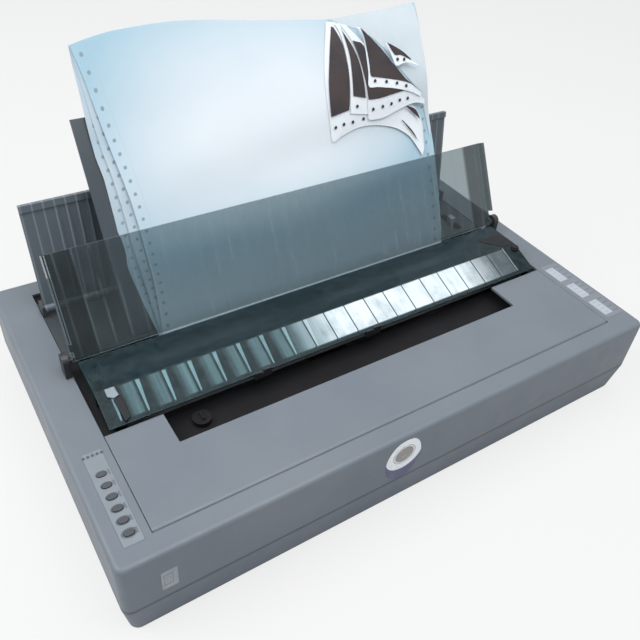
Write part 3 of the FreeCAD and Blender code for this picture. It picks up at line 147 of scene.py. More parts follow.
def moulded(name, dark, light, roughness=0.5, grain=0.25, wear=(0.55, 0.56, 0.58), wear_share=0.35,
            edge=0.6, coat=0.0, metallic=0.0, shine=0.5, seam=None, rib_pitch=None):
    """Moulded plastic or plain metal: soft colour drift, fine grain, smudges, and rubbed edges of a width
    in mm. It may have a painted shadow line along the seam at a height, and pale painted rib highlights at
    a pitch."""
    s = Shader(name)
    smudge = s.noise(32.0, 5.0, 0.65)
    base = s.blend(s.span(s.noise(9.0, 4.0), 0.35, 0.65), dark, light)
    mask = s.times(s.edges(edge * MM), s.span(s.noise(160.0, 4.0), 0.35, 0.7, 0.2, 1.0))
    base = s.blend(s.times(mask, wear_share), base, wear)
    if seam is not None:
        # Painted shadow along the seam: the colour darkens within about 2 mm of the seam's height.
        off_seam = s.math("ABSOLUTE", s.math("SUBTRACT", s.places()[2], seam))
        base = s.blend(s.span(off_seam, 0.0022, 0.0008, 0.0, 0.75), base, [c * 0.25 for c in dark])
    if rib_pitch is not None:
        # Painted highlights on the ribs: pale lines at the rib pitch.
        ribs = s.span(s.math("PINGPONG", s.places()[0], rib_pitch / 2), 0.0011, 0.0005)
        base = s.blend(s.times(ribs, 0.5), base, wear)
    rough = s.span(smudge, 0.3, 0.7, roughness - 0.06, roughness + 0.08)
    rough = s.math("ADD", rough, s.times(mask, -0.08))
    normal = s.bump(s.noise(1500.0, 2.0), grain, 0.0001, s.rounded(edge * MM))
    return s.principled({"Base Color": base, "Roughness": rough, "Metallic": metallic, "Normal": normal,
                         "Coat Weight": coat, "Coat Roughness": 0.12, "Specular IOR Level": shine})


def brushed(name, tone, roughness, axis):
    """Metal with fine lines along one axis."""
    s = Shader(name)
    stretch = [260.0, 260.0, 260.0]
    stretch[axis] = 6.0
    lines = s.streaks(stretch, 4.0)
    stain = s.noise(40.0, 4.0)
    base = s.blend(s.span(lines, 0.3, 0.7), [c * 0.78 for c in tone], tone)
    rough = s.math("ADD", s.span(lines, 0.2, 0.8, roughness - 0.08, roughness + 0.1),
                   s.span(stain, 0.5, 0.75, 0.0, 0.12))
    return s.principled({"Base Color": base, "Roughness": rough, "Metallic": 0.95,
                         "Normal": s.bump(lines, 0.15, 0.0002, s.rounded(0.0004))})


def smoked_acrylic():
    """Smoked sheet: what is behind it shows tinted, and darker at both ends, where the cover's side walls
    lie behind it. It has a sheen, a faint haze with fine ribs, hairline scratches, and painted highlights
    on its edges."""
    tint = (0.56, 0.61, 0.625)
    end_start, end_blur = 0.238, 0.001
    rib_pitch, haze = 0.017, 0.045
    s = Shader("smoked_acrylic")
    across = s.places()[0]
    lets_light = s.new("BsdfTransparent", {"Color": (0.93, 0.96, 0.97, 1.0)})
    looks_tinted = s.new("BsdfTransparent", {"Color": (*tint, 1.0)})
    looks_smoked = s.new("BsdfTransparent", {"Color": (*[c * 0.55 for c in tint], 1.0)})
    ends = s.span(s.math("ABSOLUTE", across), end_start, end_start + end_blur)
    looks_dark = s.layer(ends, looks_tinted, looks_smoked)
    clear = s.layer(s.new("LightPath").outputs["Is Camera Ray"], lets_light, looks_dark)
    veil = s.new("BsdfDiffuse", {"Color": (0.3, 0.37, 0.39, 1.0)})
    ribs = s.span(s.math("PINGPONG", across, rib_pitch / 2), 0.0016, 0.0004, 0.0, 2.2)
    ribs = s.times(ribs, s.span(s.noise(18.0, 3.0), 0.4, 0.6))
    dust = s.span(s.noise(26.0, 6.0, 0.7), 0.35, 0.7, 0.6, 1.4)
    body = s.layer(s.times(s.math("ADD", dust, ribs), haze), clear, veil)
    scratched = s.span(s.streaks((900.0, 60.0, 30.0), 2.0), 0.3, 0.75, 0.06, 0.16)
    gloss = s.new("BsdfGlossy", {"Color": (0.95, 0.98, 1.0, 1.0), "Roughness": scratched,
                                 "Normal": s.rounded(0.0005)})
    shown = s.layer(s.new("Fresnel", {"IOR": 1.22}).outputs[0], body, gloss)
    # Painted highlight: the sharp edges get a lighter teal colour.
    painted_edge_highlight = s.new("BsdfPrincipled", {"Base Color": (0.24, 0.34, 0.36, 1.0), "Roughness": 0.25})
    return s.close(s.layer(s.times(s.edges(0.0007), 0.7), shown, painted_edge_highlight))


def dress(mat, *names):
    for name in names:
        node = NODES[name]
        node.data.materials.clear()
        node.data.materials.append(mat)


# ---- materials of the CAD nodes
case_upper = moulded("case_upper", (0.118, 0.139, 0.163), (0.137, 0.157, 0.18), 0.44, 0.35,
                     (0.27, 0.29, 0.32), 0.4, 0.9, seam=SEAM_HEIGHT)
case_lower = moulded("case_lower", (0.118, 0.138, 0.166), (0.136, 0.156, 0.182), 0.5, 0.35,
                     (0.24, 0.26, 0.29), 0.35, 0.8, seam=SEAM_HEIGHT)
deck_dark = moulded("deck_dark", (0.026, 0.032, 0.037), (0.036, 0.043, 0.048), 0.5, 0.3,
                    (0.2, 0.22, 0.24), 0.4)
guide_grey = moulded("guide_grey", (0.085, 0.106, 0.124), (0.11, 0.133, 0.153), 0.42, 0.2,
                     (0.26, 0.3, 0.33), 0.5, 0.5, rib_pitch=GUIDE_RIB_PITCH)
support_grey = moulded("support_grey", (0.04, 0.054, 0.066), (0.055, 0.07, 0.083), 0.36, 0.15,
                       (0.22, 0.26, 0.29), 0.5, 0.6)
black_trim = moulded("black_trim", (0.012, 0.012, 0.014), (0.022, 0.022, 0.025), 0.42, 0.25,
                     (0.14, 0.14, 0.15), 0.5)
# Near-black for the parts in the bay: their own black, darkened further as painted shade in the recess.
bay_black = moulded("bay_black", (0.005, 0.005, 0.006), (0.009, 0.009, 0.01), 0.55, 0.3,
                    (0.05, 0.05, 0.055), 0.4, shine=0.15)
rubber = moulded("rubber", (0.018, 0.018, 0.019), (0.03, 0.03, 0.031), 0.78, 0.5, (0.1, 0.1, 0.1), 0.3)
gear_plastic = moulded("gear_plastic", (0.6, 0.585, 0.52), (0.7, 0.69, 0.62), 0.38, 0.1, (0.82, 0.8, 0.74),
                       0.3, 0.3)
lever_grey = moulded("lever_grey", (0.3, 0.33, 0.36), (0.36, 0.39, 0.42), 0.42, 0.2)
tin = moulded("tin", (0.2, 0.205, 0.21), (0.27, 0.275, 0.28), 0.38, 0.1, (0.5, 0.5, 0.5), 0.5, 0.5,
              metallic=0.6)
steel = brushed("steel_x", (0.56, 0.57, 0.58), 0.28, 0)
steel_plate = brushed("steel_plate", (0.1, 0.105, 0.112), 0.5, 1)
alloy = brushed("alloy", (0.5, 0.5, 0.51), 0.36, 1)

dress(case_upper, "upper_case", "front_lid")
dress(case_lower, "lower_case")
dress(deck_dark, "rear_deck")
dress(guide_grey, "rear_guide")
dress(support_grey, "paper_support")
dress(bay_black, "bay_liner", "ribbon_cartridge", "ribbon", "carriage", "ribbon_knob")
dress(black_trim, "cover_pivot_brackets", "tear_cover_hooks", "left_tractor", "right_tractor",
      "left_tractor_gate", "right_tractor_gate", "power_fittings", "power_rocker")
dress(rubber, "feet", "platen_roller", "timing_belt")
dress(gear_plastic, "platen_gear", "feed_idler_gear", "left_tractor_pin_wheel", "right_tractor_pin_wheel",
      "platen_bushes")
dress(lever_grey, "head_gap_lever", "paper_release_lever")
dress(tin, "power_supply", "feed_motor", "carriage_motor", "data_port")
dress(steel, "platen_shaft", "tractor_shaft", "carriage_rod", "tractor_rod", "tear_edge", "case_screws")
dress(steel_plate, "chassis")
dress(alloy, "print_head", "feed_pinion", "drive_pulley", "idler_pulley")
dress(smoked_acrylic(), "upright_cover")


def strip_material():
    """The clear tear-off strip: dark teal panels with painted highlight lobes and wedges on the left, and a
    painted near-white reflection on the right.
    """
    panels = 19.0
    left_blank, right_blank = 0.0106, 0.0229
    slope_depth = 0.0356
    s = Shader("tear_strip")
    x, y, _ = s.places()
    low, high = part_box("tear_off_cover")
    share = s.span(x, low.x + left_blank, high.x - right_blank)
    within = s.math("FRACT", s.times(share, panels))
    down = s.span(y, low.y + slope_depth, low.y)
    slope = s.times(s.span(down, 0.02, 0.05), s.span(down, 0.9, 0.87))
    glow_right = s.span(share, 0.36, 0.5)
    fade_end = s.span(share, 0.96, 0.84, 0.12, 1.0)
    streak = s.streaks((420.0, 14.0, 14.0), 3.0)
    highlight_streaks = s.streaks((500.0, 60.0, 60.0), 4.0, 0.7, 0.5)
    # A painted highlight wedge that narrows downward at each divider, then shade, then a soft painted
    # highlight lobe.
    wedge_width = s.span(down, 0.0, 1.0, 0.2, 0.08)
    wedge_highlight = s.times(s.span(within, 0.02, 0.05), s.math("LESS_THAN", within, wedge_width))
    lobe_highlight = s.times(s.span(within, 0.4, 0.72), s.span(within, 1.0, 0.88))
    left_highlights = s.math("ADD", s.times(lobe_highlight, s.span(streak, 0.3, 0.7, 0.16, 0.34)),
                       s.times(wedge_highlight, s.span(highlight_streaks, 0.3, 0.6, 0.35, 0.62)), clamp=True)
    cloud = s.noise(36.0, 4.0, 0.6)
    # On the right, a painted near-white reflection, broken by streaks and clouds.
    right_reflection = s.times(s.span(streak, 0.25, 0.6, 0.8, 1.0), s.span(cloud, 0.3, 0.5, 0.75, 1.0))
    painted_light_share = s.math("ADD", s.times(left_highlights, s.math("SUBTRACT", 1.0, glow_right)),
                    s.times(right_reflection, glow_right))
    painted_light_share = s.times(s.times(painted_light_share, slope), fade_end, clamp=True)
    inside = s.times(s.math("GREATER_THAN", share, 0.001), s.math("LESS_THAN", share, 0.999))
    divider = s.math("ADD", s.span(within, 0.035, 0.02), s.span(within, 0.97, 0.985), clamp=True)
    painted_light_share = s.times(s.times(painted_light_share, s.math("SUBTRACT", 1.0, divider)), inside, clamp=True)
    # The ledge and the blank ends are a darker, mottled teal than the panels.
    ledge = s.math("MAXIMUM", s.span(down, 0.02, 0.0), s.math("SUBTRACT", 1.0, inside))
    tint = s.blend(ledge, (0.34, 0.45, 0.48), (0.12, 0.17, 0.2))
    tint = s.blend(s.times(divider, slope), tint, (0.03, 0.05, 0.06))
    mottle = s.span(s.noise(120.0, 5.0, 0.7), 0.4, 0.65)
    pale = s.blend(cloud, (0.5, 0.6, 0.65), (0.8, 0.85, 0.88))
    clear = s.new("BsdfTransparent", {"Color": tint})
    # The painted highlights and reflection are a lit white layer over the clear, hazy body.
    white = s.new("BsdfDiffuse", {"Color": s.blend(glow_right, (0.24, 0.42, 0.46), pale)})
    haze = s.new("BsdfDiffuse", {"Color": s.blend(mottle, (0.014, 0.03, 0.036), (0.036, 0.066, 0.075))})
    body = s.layer(painted_light_share, s.layer(0.45, clear, haze), white)
    gloss = s.new("BsdfGlossy", {"Color": (0.9, 0.97, 1.0, 1.0), "Normal": s.rounded(0.0005),
                                 "Roughness": s.span(streak, 0.3, 0.7, 0.06, 0.16)})
    shown = s.layer(s.new("Fresnel", {"IOR": 1.25}).outputs[0], body, gloss)
    # Painted highlight: the sharp edges get a lighter teal colour.
    painted_edge_highlight = s.new("BsdfPrincipled", {"Base Color": (0.13, 0.24, 0.26, 1.0), "Roughness": 0.2})
    return s.close(s.layer(s.times(s.edges(0.0006), 0.45), shown, painted_edge_highlight))


dress(strip_material(), "tear_off_cover")


# ---- printed labels, buttons, lamps, badge and sticker
def film(name, base, marks):
    """Printed film: a base colour, and marks of other colours in the XY plane. Each mark has its middle,
    its half sizes, its colour, and 0 for a rectangle or 1 for an oval."""
    s = Shader(name)
    across, deep, _ = s.places()
    color = s.blend(s.span(s.noise(60.0, 4.0), 0.35, 0.65), base, [c * 1.08 for c in base])
    for x, y, half_width, half_depth, tone, is_oval in marks:
        dx = s.share_of(across, x, half_width)
        dy = s.share_of(deep, y, half_depth)
        if is_oval:
            reach = s.math("ADD", s.times(dx, dx), s.times(dy, dy))
        else:
            reach = s.math("MAXIMUM", s.math("ABSOLUTE", dx), s.math("ABSOLUTE", dy))
        color = s.blend(s.span(reach, 1.06, 0.94), color, tone)
    rough = s.span(s.noise(90.0, 5.0), 0.3, 0.7, 0.27, 0.45)
    normal = s.bump(s.noise(900.0, 2.0), 0.1, 0.0001, s.rounded(0.0004))
    return s.principled({"Base Color": color, "Roughness": rough, "Normal": normal, "Coat Weight": 0.2})


def centre(name):
    low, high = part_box(name)
    return (low + high) / 2


# The control label: an oval under each button that grows to the front, a dash beside it, and four dots.
low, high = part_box("control_label")
marks = []
for index, button in enumerate(BUTTONS):
    middle = centre(button)
    grown = 1.0 + 0.07 * (5 - index)
    marks.append((middle.x, middle.y, 0.0048 * grown, 0.0034 * grown, (0.07, 0.082, 0.098), 1))
    marks.append((high.x - 0.0022, middle.y, 0.0008, 0.003, (0.1, 0.115, 0.135), 0))
for index in range(4):
    marks.append((low.x + 0.004 + 0.003 * index, high.y - 0.004, 0.0011, 0.0011, (0.17, 0.2, 0.24), 1))
dress(film("control_film", (0.165, 0.19, 0.215), marks), "control_label")

# The right hand label: three pale boxes with plain lines in them and beside them.
low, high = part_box("right_label")
marks = []
for index in range(3):
    y = low.y + 0.018 + 0.034 * index
    marks.append((low.x + 0.0085, y, 0.0062, 0.0125, (0.36, 0.39, 0.43), 0))
    for row in range(4):
        marks.append((high.x - 0.006, y - 0.011 + 0.0075 * row, 0.0042, 0.0006, (0.09, 0.1, 0.125), 0))
        marks.append((low.x + 0.0085, y - 0.009 + 0.006 * row, 0.0036, 0.0006, (0.27, 0.3, 0.34), 0))
dress(film("side_film", (0.15, 0.17, 0.197), marks), "right_label")
dress(moulded("button_rubber", (0.036, 0.042, 0.05), (0.05, 0.057, 0.066), 0.5, 0.4, (0.14, 0.16, 0.18),
              0.4, 0.5), *BUTTONS)
dress(moulded("lamp_lens", (0.045, 0.07, 0.06), (0.06, 0.095, 0.075), 0.2, 0.05, (0.15, 0.2, 0.17), 0.3,
              0.3, coat=0.6), "status_lamps")


def badge_material():
    """A white oval over a dark blue crescent, bare but for a small brown ring and disc."""
    half_width, half_height, raised = 0.0215, 0.0205, 0.007
    s = Shader("badge_film")
    across, _, height = s.places()
    middle = centre("front_badge")
    dx = s.share_of(across, middle.x, half_width)
    dz = s.share_of(height, middle.z + raised, half_height)
    reach = s.math("ADD", s.times(dx, dx), s.times(dz, dz))
    color = s.blend(s.span(reach, 0.93, 0.99), (0.8, 0.82, 0.84), (0.012, 0.014, 0.11))
    brown_ring = s.times(s.span(reach, 0.3, 0.32), s.span(reach, 0.37, 0.35))
    color = s.blend(s.times(brown_ring, 0.8), color, (0.16, 0.13, 0.11))
    color = s.blend(s.times(s.span(reach, 0.28, 0.22), 0.85), color, (0.11, 0.075, 0.06))
    color = s.blend(s.span(s.noise(80.0, 4.0), 0.5, 0.8, 0.0, 0.15), color, (0.5, 0.5, 0.5))
    return s.principled({"Base Color": color, "Roughness": s.span(s.noise(120.0), 0.3, 0.7, 0.18, 0.3),
                         "Coat Weight": 0.4, "Normal": s.rounded(0.0005)})


dress(badge_material(), "front_badge")


def sticker_material():
    """Silver film with two faint plain boxes, one in the other."""
    s = Shader("silver_film")
    across, _, height = s.places()
    middle = centre("front_sticker")
    color = s.blend(s.span(s.noise(70.0, 4.0), 0.3, 0.7), (0.24, 0.26, 0.28), (0.32, 0.345, 0.365))
    for half_width, half_height in ((0.0042, 0.0075), (0.0018, 0.0035)):
        dx = s.math("ABSOLUTE", s.share_of(across, middle.x - MM, half_width))
        dz = s.math("ABSOLUTE", s.share_of(height, middle.z, half_height))
        reach = s.math("MAXIMUM", dx, dz)
        outline = s.times(s.span(reach, 1.05, 0.98), s.span(reach, 0.72, 0.8))
        color = s.blend(s.times(outline, 0.7), color, (0.16, 0.18, 0.2))
    return s.principled({"Base Color": color, "Roughness": 0.34, "Metallic": 0.35,
                         "Normal": s.rounded(0.0003)})


dress(sticker_material(), "front_sticker")


def board_material():
    """Green board with fine tracks, and dark tops on its chips."""
    s = Shader("circuit_board")
    tracks = s.new("TexBrick", {"Vector": s.coords(), "Scale": 160.0, "Mortar Size": 0.03,
                                "Color1": (0.02, 0.12, 0.06, 1.0), "Color2": (0.03, 0.15, 0.08, 1.0),
                                "Mortar": (0.25, 0.3, 0.12, 1.0)})
    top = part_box("main_board")[1].z
    chip = s.span(s.places()[2], top - 0.0021, top - 0.0019)
    color = s.blend(chip, tracks.outputs["Color"], (0.02, 0.02, 0.022))
    return s.principled({"Base Color": color, "Roughness": s.span(s.noise(200.0), 0.3, 0.7, 0.3, 0.5),
                         "Normal": s.rounded(0.0003)})


dress(board_material(), "main_board")


# ---- the continuous form, in places on its front ply: u from 0 to 1 across, and w along the rows of
# the edge tables, whose pairs are shares of the form's run backward and of its rise. A lift from the
# ply goes along FORM_FRONT.
LEFT_EDGE = [(0, 0), (0.066, 0.13), (0.22, 0.245), (0.335, 0.345), (0.46, 0.46), (0.585, 0.58),
             (0.735, 0.72), (0.875, 0.855), (1, 0.97)]
RIGHT_EDGE = [(0, 0), (0.066, 0.13), (0.185, 0.3), (0.355, 0.49), (0.505, 0.633), (0.6, 0.765),
              (0.735, 0.885), (0.82, 0.95), (0.895, 1)]
FORM_X, FORM_WIDTH = -0.187, 0.389
FORM_Y, FORM_RUN = 0.028, 0.1535
FORM_Z, FORM_RISE = 0.06, 0.294
FORM_FRONT = Vector((0.0, -0.86, 0.5))


def through(points, t):
    """A smooth line through points, at t counted in points, run on straight past both ends."""
    points = np.asarray(points, float)
    last = len(points) - 1
    i = int(min(max(math.floor(t), 0), last - 1))
    s = t - i
    b, c = points[i], points[i + 1]
    a = points[i - 1] if i > 0 else 2 * b - c
    d = points[i + 2] if i + 2 <= last else 2 * c - b
    if s < 0:
        return b + (c - b) * s
    if s > 1:
        return c + (c - b) * (s - 1)
    square, cube = 2 * a - 5 * b + 4 * c - d, 3 * b - a - 3 * c + d
    return 0.5 * (2 * b + (c - a) * s + square * s ** 2 + cube * s ** 3)


def on_form(u, w, lift=0.0):
    """A point on the front ply, lifted off its front."""
    left, right = through(LEFT_EDGE, w), through(RIGHT_EDGE, w)
    run, rise = left + u * (right - left)
    place = Vector((FORM_X + FORM_WIDTH * u, FORM_Y + run * FORM_RUN, FORM_Z + rise * FORM_RISE))
    return place + FORM_FRONT * lift


def add_piece(name, mesh, mat):
    """A piece of the scene that rides on the case."""
    mesh.materials.append(mat)
    made = bpy.data.objects.new(name, mesh)
    bpy.context.scene.collection.objects.link(made)
    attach(made, "case")
    return made


def lengths_along(points):
    lengths = [0.0]
    for before, after in zip(points, points[1:]):
        lengths.append(lengths[-1] + (after - before).length)
    return lengths


def sheet(name, rows, mat):
    """A smooth grid of points as one piece, with lengths across and along it kept as UVs in metres."""
    count = len(rows[0])
    faces = []
    for i in range(len(rows) - 1):
        for j in range(count - 1):
            a = i * count + j
            faces.append((a, a + 1, a + count + 1, a + count))
    mesh = bpy.data.meshes.new(name)
    mesh.from_pydata([tuple(p) for row in rows for p in row], [], faces)
    across = lengths_along(rows[0])
    along = lengths_along([row[count // 2] for row in rows])
    layer = mesh.uv_layers.new(name="places")
    for polygon in mesh.polygons:
        polygon.use_smooth = True
        for loop in polygon.loop_indices:
            vertex = mesh.loops[loop].vertex_index
            layer.data[loop].uv = (across[vertex % count], along[vertex // count])
    return add_piece(name, mesh, mat)


def paper_material(name, width, tone, bright, hole_shift=0.0, glow=False):
    """Form paper: fibres, a soft blue drift, sprocket holes filled with painted shade at both sides, and a
    tear line beside them. On the front ply the drift is painted light around its middle and at its foot,
    with painted blue shade away from them."""
    s = Shader(name)
    uv = s.new("UVMap", uv_map="places")
    x, y, _ = s.new("SeparateXYZ", {0: uv.outputs[0]}).outputs
    from_side = s.math("MINIMUM", x, s.math("SUBTRACT", width, x))
    step = s.math("PINGPONG", s.math("ADD", y, hole_shift), HOLE_PITCH / 2)
    dx = s.math("SUBTRACT", from_side, HOLE_PITCH / 2)
    from_hole = s.math("SQRT", s.math("ADD", s.times(dx, dx), s.times(step, step)))
    hole = s.span(from_hole, 0.0019, 0.0015)
    stitch = s.span(s.math("PINGPONG", y, 0.0012), 0.0003, 0.0006)
    from_line = s.math("ABSOLUTE", s.math("SUBTRACT", from_side, HOLE_PITCH))
    line = s.times(s.span(from_line, 0.0005, 0.0002), stitch)
    # Painted light on the front ply: a bright pool around its middle and a lighter foot; elsewhere the
    # colour falls to the painted blue shade of tone.
    if glow:
        painted_light_spot = s.math("ADD", s.math("POWER", s.share_of(x, 0.17, 0.15), 2.0),
                      s.math("POWER", s.share_of(y, 0.22, 0.1), 2.0))
        cloud = s.span(s.noise(5.0, 3.0), 0.3, 0.7, -0.25, 0.25)
        drift_and_painted_light = s.math("MAXIMUM", s.span(s.math("ADD", painted_light_spot, cloud), 0.1, 1.9, 1.0, 0.0),
                       s.span(y, 0.17, 0.05, 0.0, 0.7))
    else:
        drift_and_painted_light = s.span(s.noise(14.0, 3.0), 0.3, 0.7)
    fibres = s.noise(700.0, 5.0, 0.7)
    color = s.blend(drift_and_painted_light, tone, bright)
    color = s.blend(s.span(fibres, 0.4, 0.7, 0.0, 0.06), color, (0.6, 0.66, 0.7))
    color = s.blend(s.times(line, 0.35), color, (0.4, 0.47, 0.52))
    # Painted shade fills the sprocket holes, in place of the shaded gap seen through them.
    color = s.blend(hole, color, (0.26, 0.34, 0.39))
    paper = s.new("BsdfPrincipled", {"Base Color": color, "Roughness": 0.7, "Specular IOR Level": 0.25,
                                     "Normal": s.bump(fibres, 0.2, 0.00006)})
    thin = s.new("BsdfTranslucent", {"Color": (0.7, 0.75, 0.78, 1.0)})
    return s.close(s.layer(0.08, paper, thin))


# Left edges of the first and the last ply, and the form's top edge, as pairs of u and w.
FRONT_LEFT = [(0.0353, 0.4), (0.036, 0.885), (0.0462, 1.559), (0.0546, 2.341), (0.0552, 3.133),
              (0.055, 3.916), (0.052, 4.561), (0.0441, 5.224), (0.0354, 5.816), (0.0279, 6.463),
              (0.0214, 7.157), (0.0162, 7.543), (0.009, 8.04)]
BACK_LEFT = [(0.0353, 0.4), (0.0353, 0.885), (0.0213, 1.589), (0.0137, 2.181), (0.0063, 2.795),
             (0.0024, 3.551), (0.0053, 4.125), (0.0058, 4.801), (0.006, 5.215), (0.0, 5.666),
             (0.0, 6.234), (0.0033, 6.941), (0.0046, 7.573), (0.0085, 8.049)]
TOP = [(0.0094, 8.03), (0.0621, 8.15), (0.1119, 8.23), (0.199, 8.29), (0.2891, 8.3), (0.3801, 8.2),
       (0.4746, 8.05), (0.5886, 7.87), (0.6932, 7.68), (0.7574, 7.65), (0.8409, 7.69), (0.9099, 7.73),
       (0.985, 7.83)]


def at(pairs, value, by=0, get=1):
    """The number that goes with a value, read between the pairs."""
    return float(np.interp(value, [pair[by] for pair in pairs], [pair[get] for pair in pairs]))


def make_ply(name, share, depth, mat):
    """One ply from the platen to the form's top: share 0 has the front ply's left edge and 1 the last's."""
    steps_up, steps_across, top_w = 96, 48, 8
    rows = []
    for i in range(steps_up + 1):
        t = i / steps_up
        left = ((1 - share) * at(FRONT_LEFT, t * top_w, by=1, get=0)
                + share * at(BACK_LEFT, t * top_w, by=1, get=0))
        right = 0.985 + 0.006 * share + 0.012 * t * (1 - share)
        row = []
        for j in range(steps_across + 1):
            k = j / steps_across
            wave = 0.6 * MM * math.sin(9 * k + 2.5 * t + 5 * share) * math.sin(math.pi * t)
            u = left + (right - left) * k
            w = t * at(TOP, u)
            behind = depth * (1 + 1.5 * math.sin(math.pi * min(1.0, w / 7)))
            row.append(on_form(u, w, wave - behind))
        rows.append(row)
    return sheet(name, rows, mat)


form_paper = paper_material("form_paper_front", 0.366, (0.37, 0.55, 0.65), (0.77, 0.82, 0.86), glow=True)
# The middle and back plies use darker, bluer copies of the paper: painted shade on the plies behind the
# front one.
form_mid = paper_material("form_paper_mid", 0.375, (0.42, 0.55, 0.63), (0.54, 0.63, 0.69), 0.004)
form_back = paper_material("form_paper_back", 0.382, (0.38, 0.5, 0.58), (0.5, 0.6, 0.66), 0.008)
front_ply = make_ply("form_front_ply", 0.0, 0.0, form_paper)
make_ply("form_middle_ply", 0.5, 0.0011, form_mid)
make_ply("form_back_ply", 1.0, 0.0022, form_back)
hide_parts("form_plies")


# ---- the peeled corner: curled white sheets with holed margins, and carbon sheets between them
def resample(points, count):
    return [through(points, (len(points) - 1) * i / (count - 1)) for i in range(count)]


def patch(name, side_a, side_b, lift_a, lift_b, mat, crown=0.0, rows=19, columns=9):
    """A sheet between two smooth lines in places on the form, each with a lift in mm at its two ends."""
    a, b = resample(side_a, rows), resample(side_b, rows)
    grid = []
    for i in range(rows):
        t = i / (rows - 1)
        from_lift = lift_a[0] + (lift_a[1] - lift_a[0]) * t
        to_lift = lift_b[0] + (lift_b[1] - lift_b[0]) * t
        row = []
        for j in range(columns):
            k = j / (columns - 1)
            u, w = a[i] + (b[i] - a[i]) * k
            lift = from_lift + (to_lift - from_lift) * k + crown * math.sin(math.pi * k)
            row.append(on_form(u, w, lift * MM))
        grid.append(row)
    return sheet(name, grid, mat)


def plain_paper(name, tone):
    """The other side of the form's paper, without holes or print."""
    s = Shader(name)
    fibres = s.noise(700.0, 5.0, 0.7)
    color = s.blend(s.span(s.noise(22.0, 3.0), 0.3, 0.7), tone, [c * 0.9 for c in tone])
    color = s.blend(s.span(fibres, 0.4, 0.7, 0.0, 0.08), color, (0.55, 0.6, 0.65))
    return s.principled({"Base Color": color, "Roughness": 0.68, "Specular IOR Level": 0.25,
                         "Normal": s.bump(fibres, 0.2, 0.00006)})


def carbon_material():
    """Carbon film, which is smeared dark blue and brown."""
    s = Shader("carbon_film")
    smear = s.noise(30.0, 5.0, 0.65, distortion=0.6)
    color = s.blend(s.span(smear, 0.35, 0.65), (0.012, 0.011, 0.018), (0.034, 0.02, 0.018))
    return s.principled({"Base Color": color, "Roughness": s.span(smear, 0.3, 0.7, 0.3, 0.5),
                         "Normal": s.bump(s.noise(300.0, 3.0), 0.15, 0.0001)})


flap_white = plain_paper("flap_paper", (0.8, 0.84, 0.87))
flap_shade = plain_paper("flap_paper_shade", (0.6, 0.67, 0.71))
carbon = carbon_material()
hole_dark = moulded("hole_shadow", (0.02, 0.025, 0.035), (0.035, 0.04, 0.05), 0.8, 0.1)

corner = patch("corner_under_sheet",
               [(0.7, 7.66), (0.76, 7.2), (0.8, 6.9), (0.85, 6.2), (0.9, 5.4), (0.96, 4.6), (0.975, 4.0),
                (0.98, 3.4)],
               [(0.76, 7.66), (0.85, 7.7), (0.92, 7.74), (0.985, 7.8), (0.992, 6.8), (0.992, 5.8),
                (0.99, 4.6), (0.988, 3.6)],
               (0.4, 0.4), (0.5, 0.5), flap_shade, rows=31)
patch("corner_flap_1",
      [(0.692, 7.56), (0.6808, 6.993), (0.666, 6.368), (0.6546, 5.855), (0.6472, 5.429), (0.6437, 4.998),
       (0.643, 4.519), (0.6451, 4.169), (0.6745, 4.228), (0.7135, 4.285), (0.7489, 4.28), (0.7934, 4.19),
       (0.8405, 4.023), (0.8709, 3.87), (0.8988, 3.653), (0.9135, 3.475), (0.939, 3.065)],
      [(0.72, 7.5), (0.74, 7.1), (0.76, 6.8), (0.78, 6.4), (0.8, 6.0), (0.81, 5.8), (0.82, 5.6),
       (0.83, 5.4), (0.84, 5.3),
       (0.85, 5.2), (0.87, 5.0), (0.89, 4.8), (0.91, 4.6), (0.93, 4.4), (0.95, 4.1), (0.96, 3.8),
        (0.955, 3.3)],
      (1.0, 2.6), (0.9, 0.9), flap_white, crown=1.2, rows=49, columns=11)
patch("corner_carbon_1",
      [(0.7033, 7.34), (0.6905, 6.794), (0.673, 6.059), (0.66, 5.614), (0.6517, 5.202), (0.6478, 4.821)],
      [(0.7098, 7.285), (0.7206, 6.887), (0.7275, 6.511), (0.7288, 6.04), (0.7274, 5.672), (0.7191, 5.252),
       (0.7079, 4.83)],
      (2.2, 3.4), (2.4, 3.2), carbon)
patch("corner_flap_2",
      [(0.7124, 7.435), (0.7237, 7.06), (0.7289, 6.506), (0.73, 5.956), (0.726, 5.564), (0.7205, 5.248),
       (0.7132, 4.972), (0.71, 4.727)],
      [(0.73, 7.4), (0.75, 7.0), (0.775, 6.5), (0.785, 6.0), (0.79, 5.6), (0.785, 5.2), (0.78, 4.9),
       (0.775, 4.52)],
      (3.0, 4.2), (3.0, 3.8), flap_white)
patch("corner_carbon_2",
      [(0.73, 7.2), (0.7323, 7.037), (0.7376, 6.48), (0.739, 6.012), (0.7332, 5.546), (0.7255, 5.135)],
      [(0.731, 7.18), (0.7346, 6.994), (0.7504, 6.51), (0.7608, 6.091), (0.7669, 5.691), (0.7672, 5.354),
       (0.7649, 4.985)],
      (3.8, 4.8), (3.9, 4.6), carbon)
patch("corner_flap_3",
      [(0.7289, 7.354), (0.7551, 6.603), (0.7638, 6.083), (0.7684, 5.573), (0.769, 5.239), (0.7696, 4.984),
       (0.7668, 4.551), (0.7698, 4.393), (0.8149, 4.313), (0.8553, 4.348), (0.8998, 4.399), (0.9374, 4.383),
       (0.9679, 4.262)],
      [(0.745, 7.3), (0.78, 6.6), (0.8, 6.2), (0.81, 5.8), (0.82, 5.5), (0.83, 5.3), (0.84, 5.2),
       (0.85, 5.1),
       (0.87, 5.0), (0.89, 4.9), (0.91, 4.8), (0.94, 4.65), (0.968, 4.4)],
      (4.2, 5.0), (4.2, 4.4), flap_white, rows=37, columns=11)
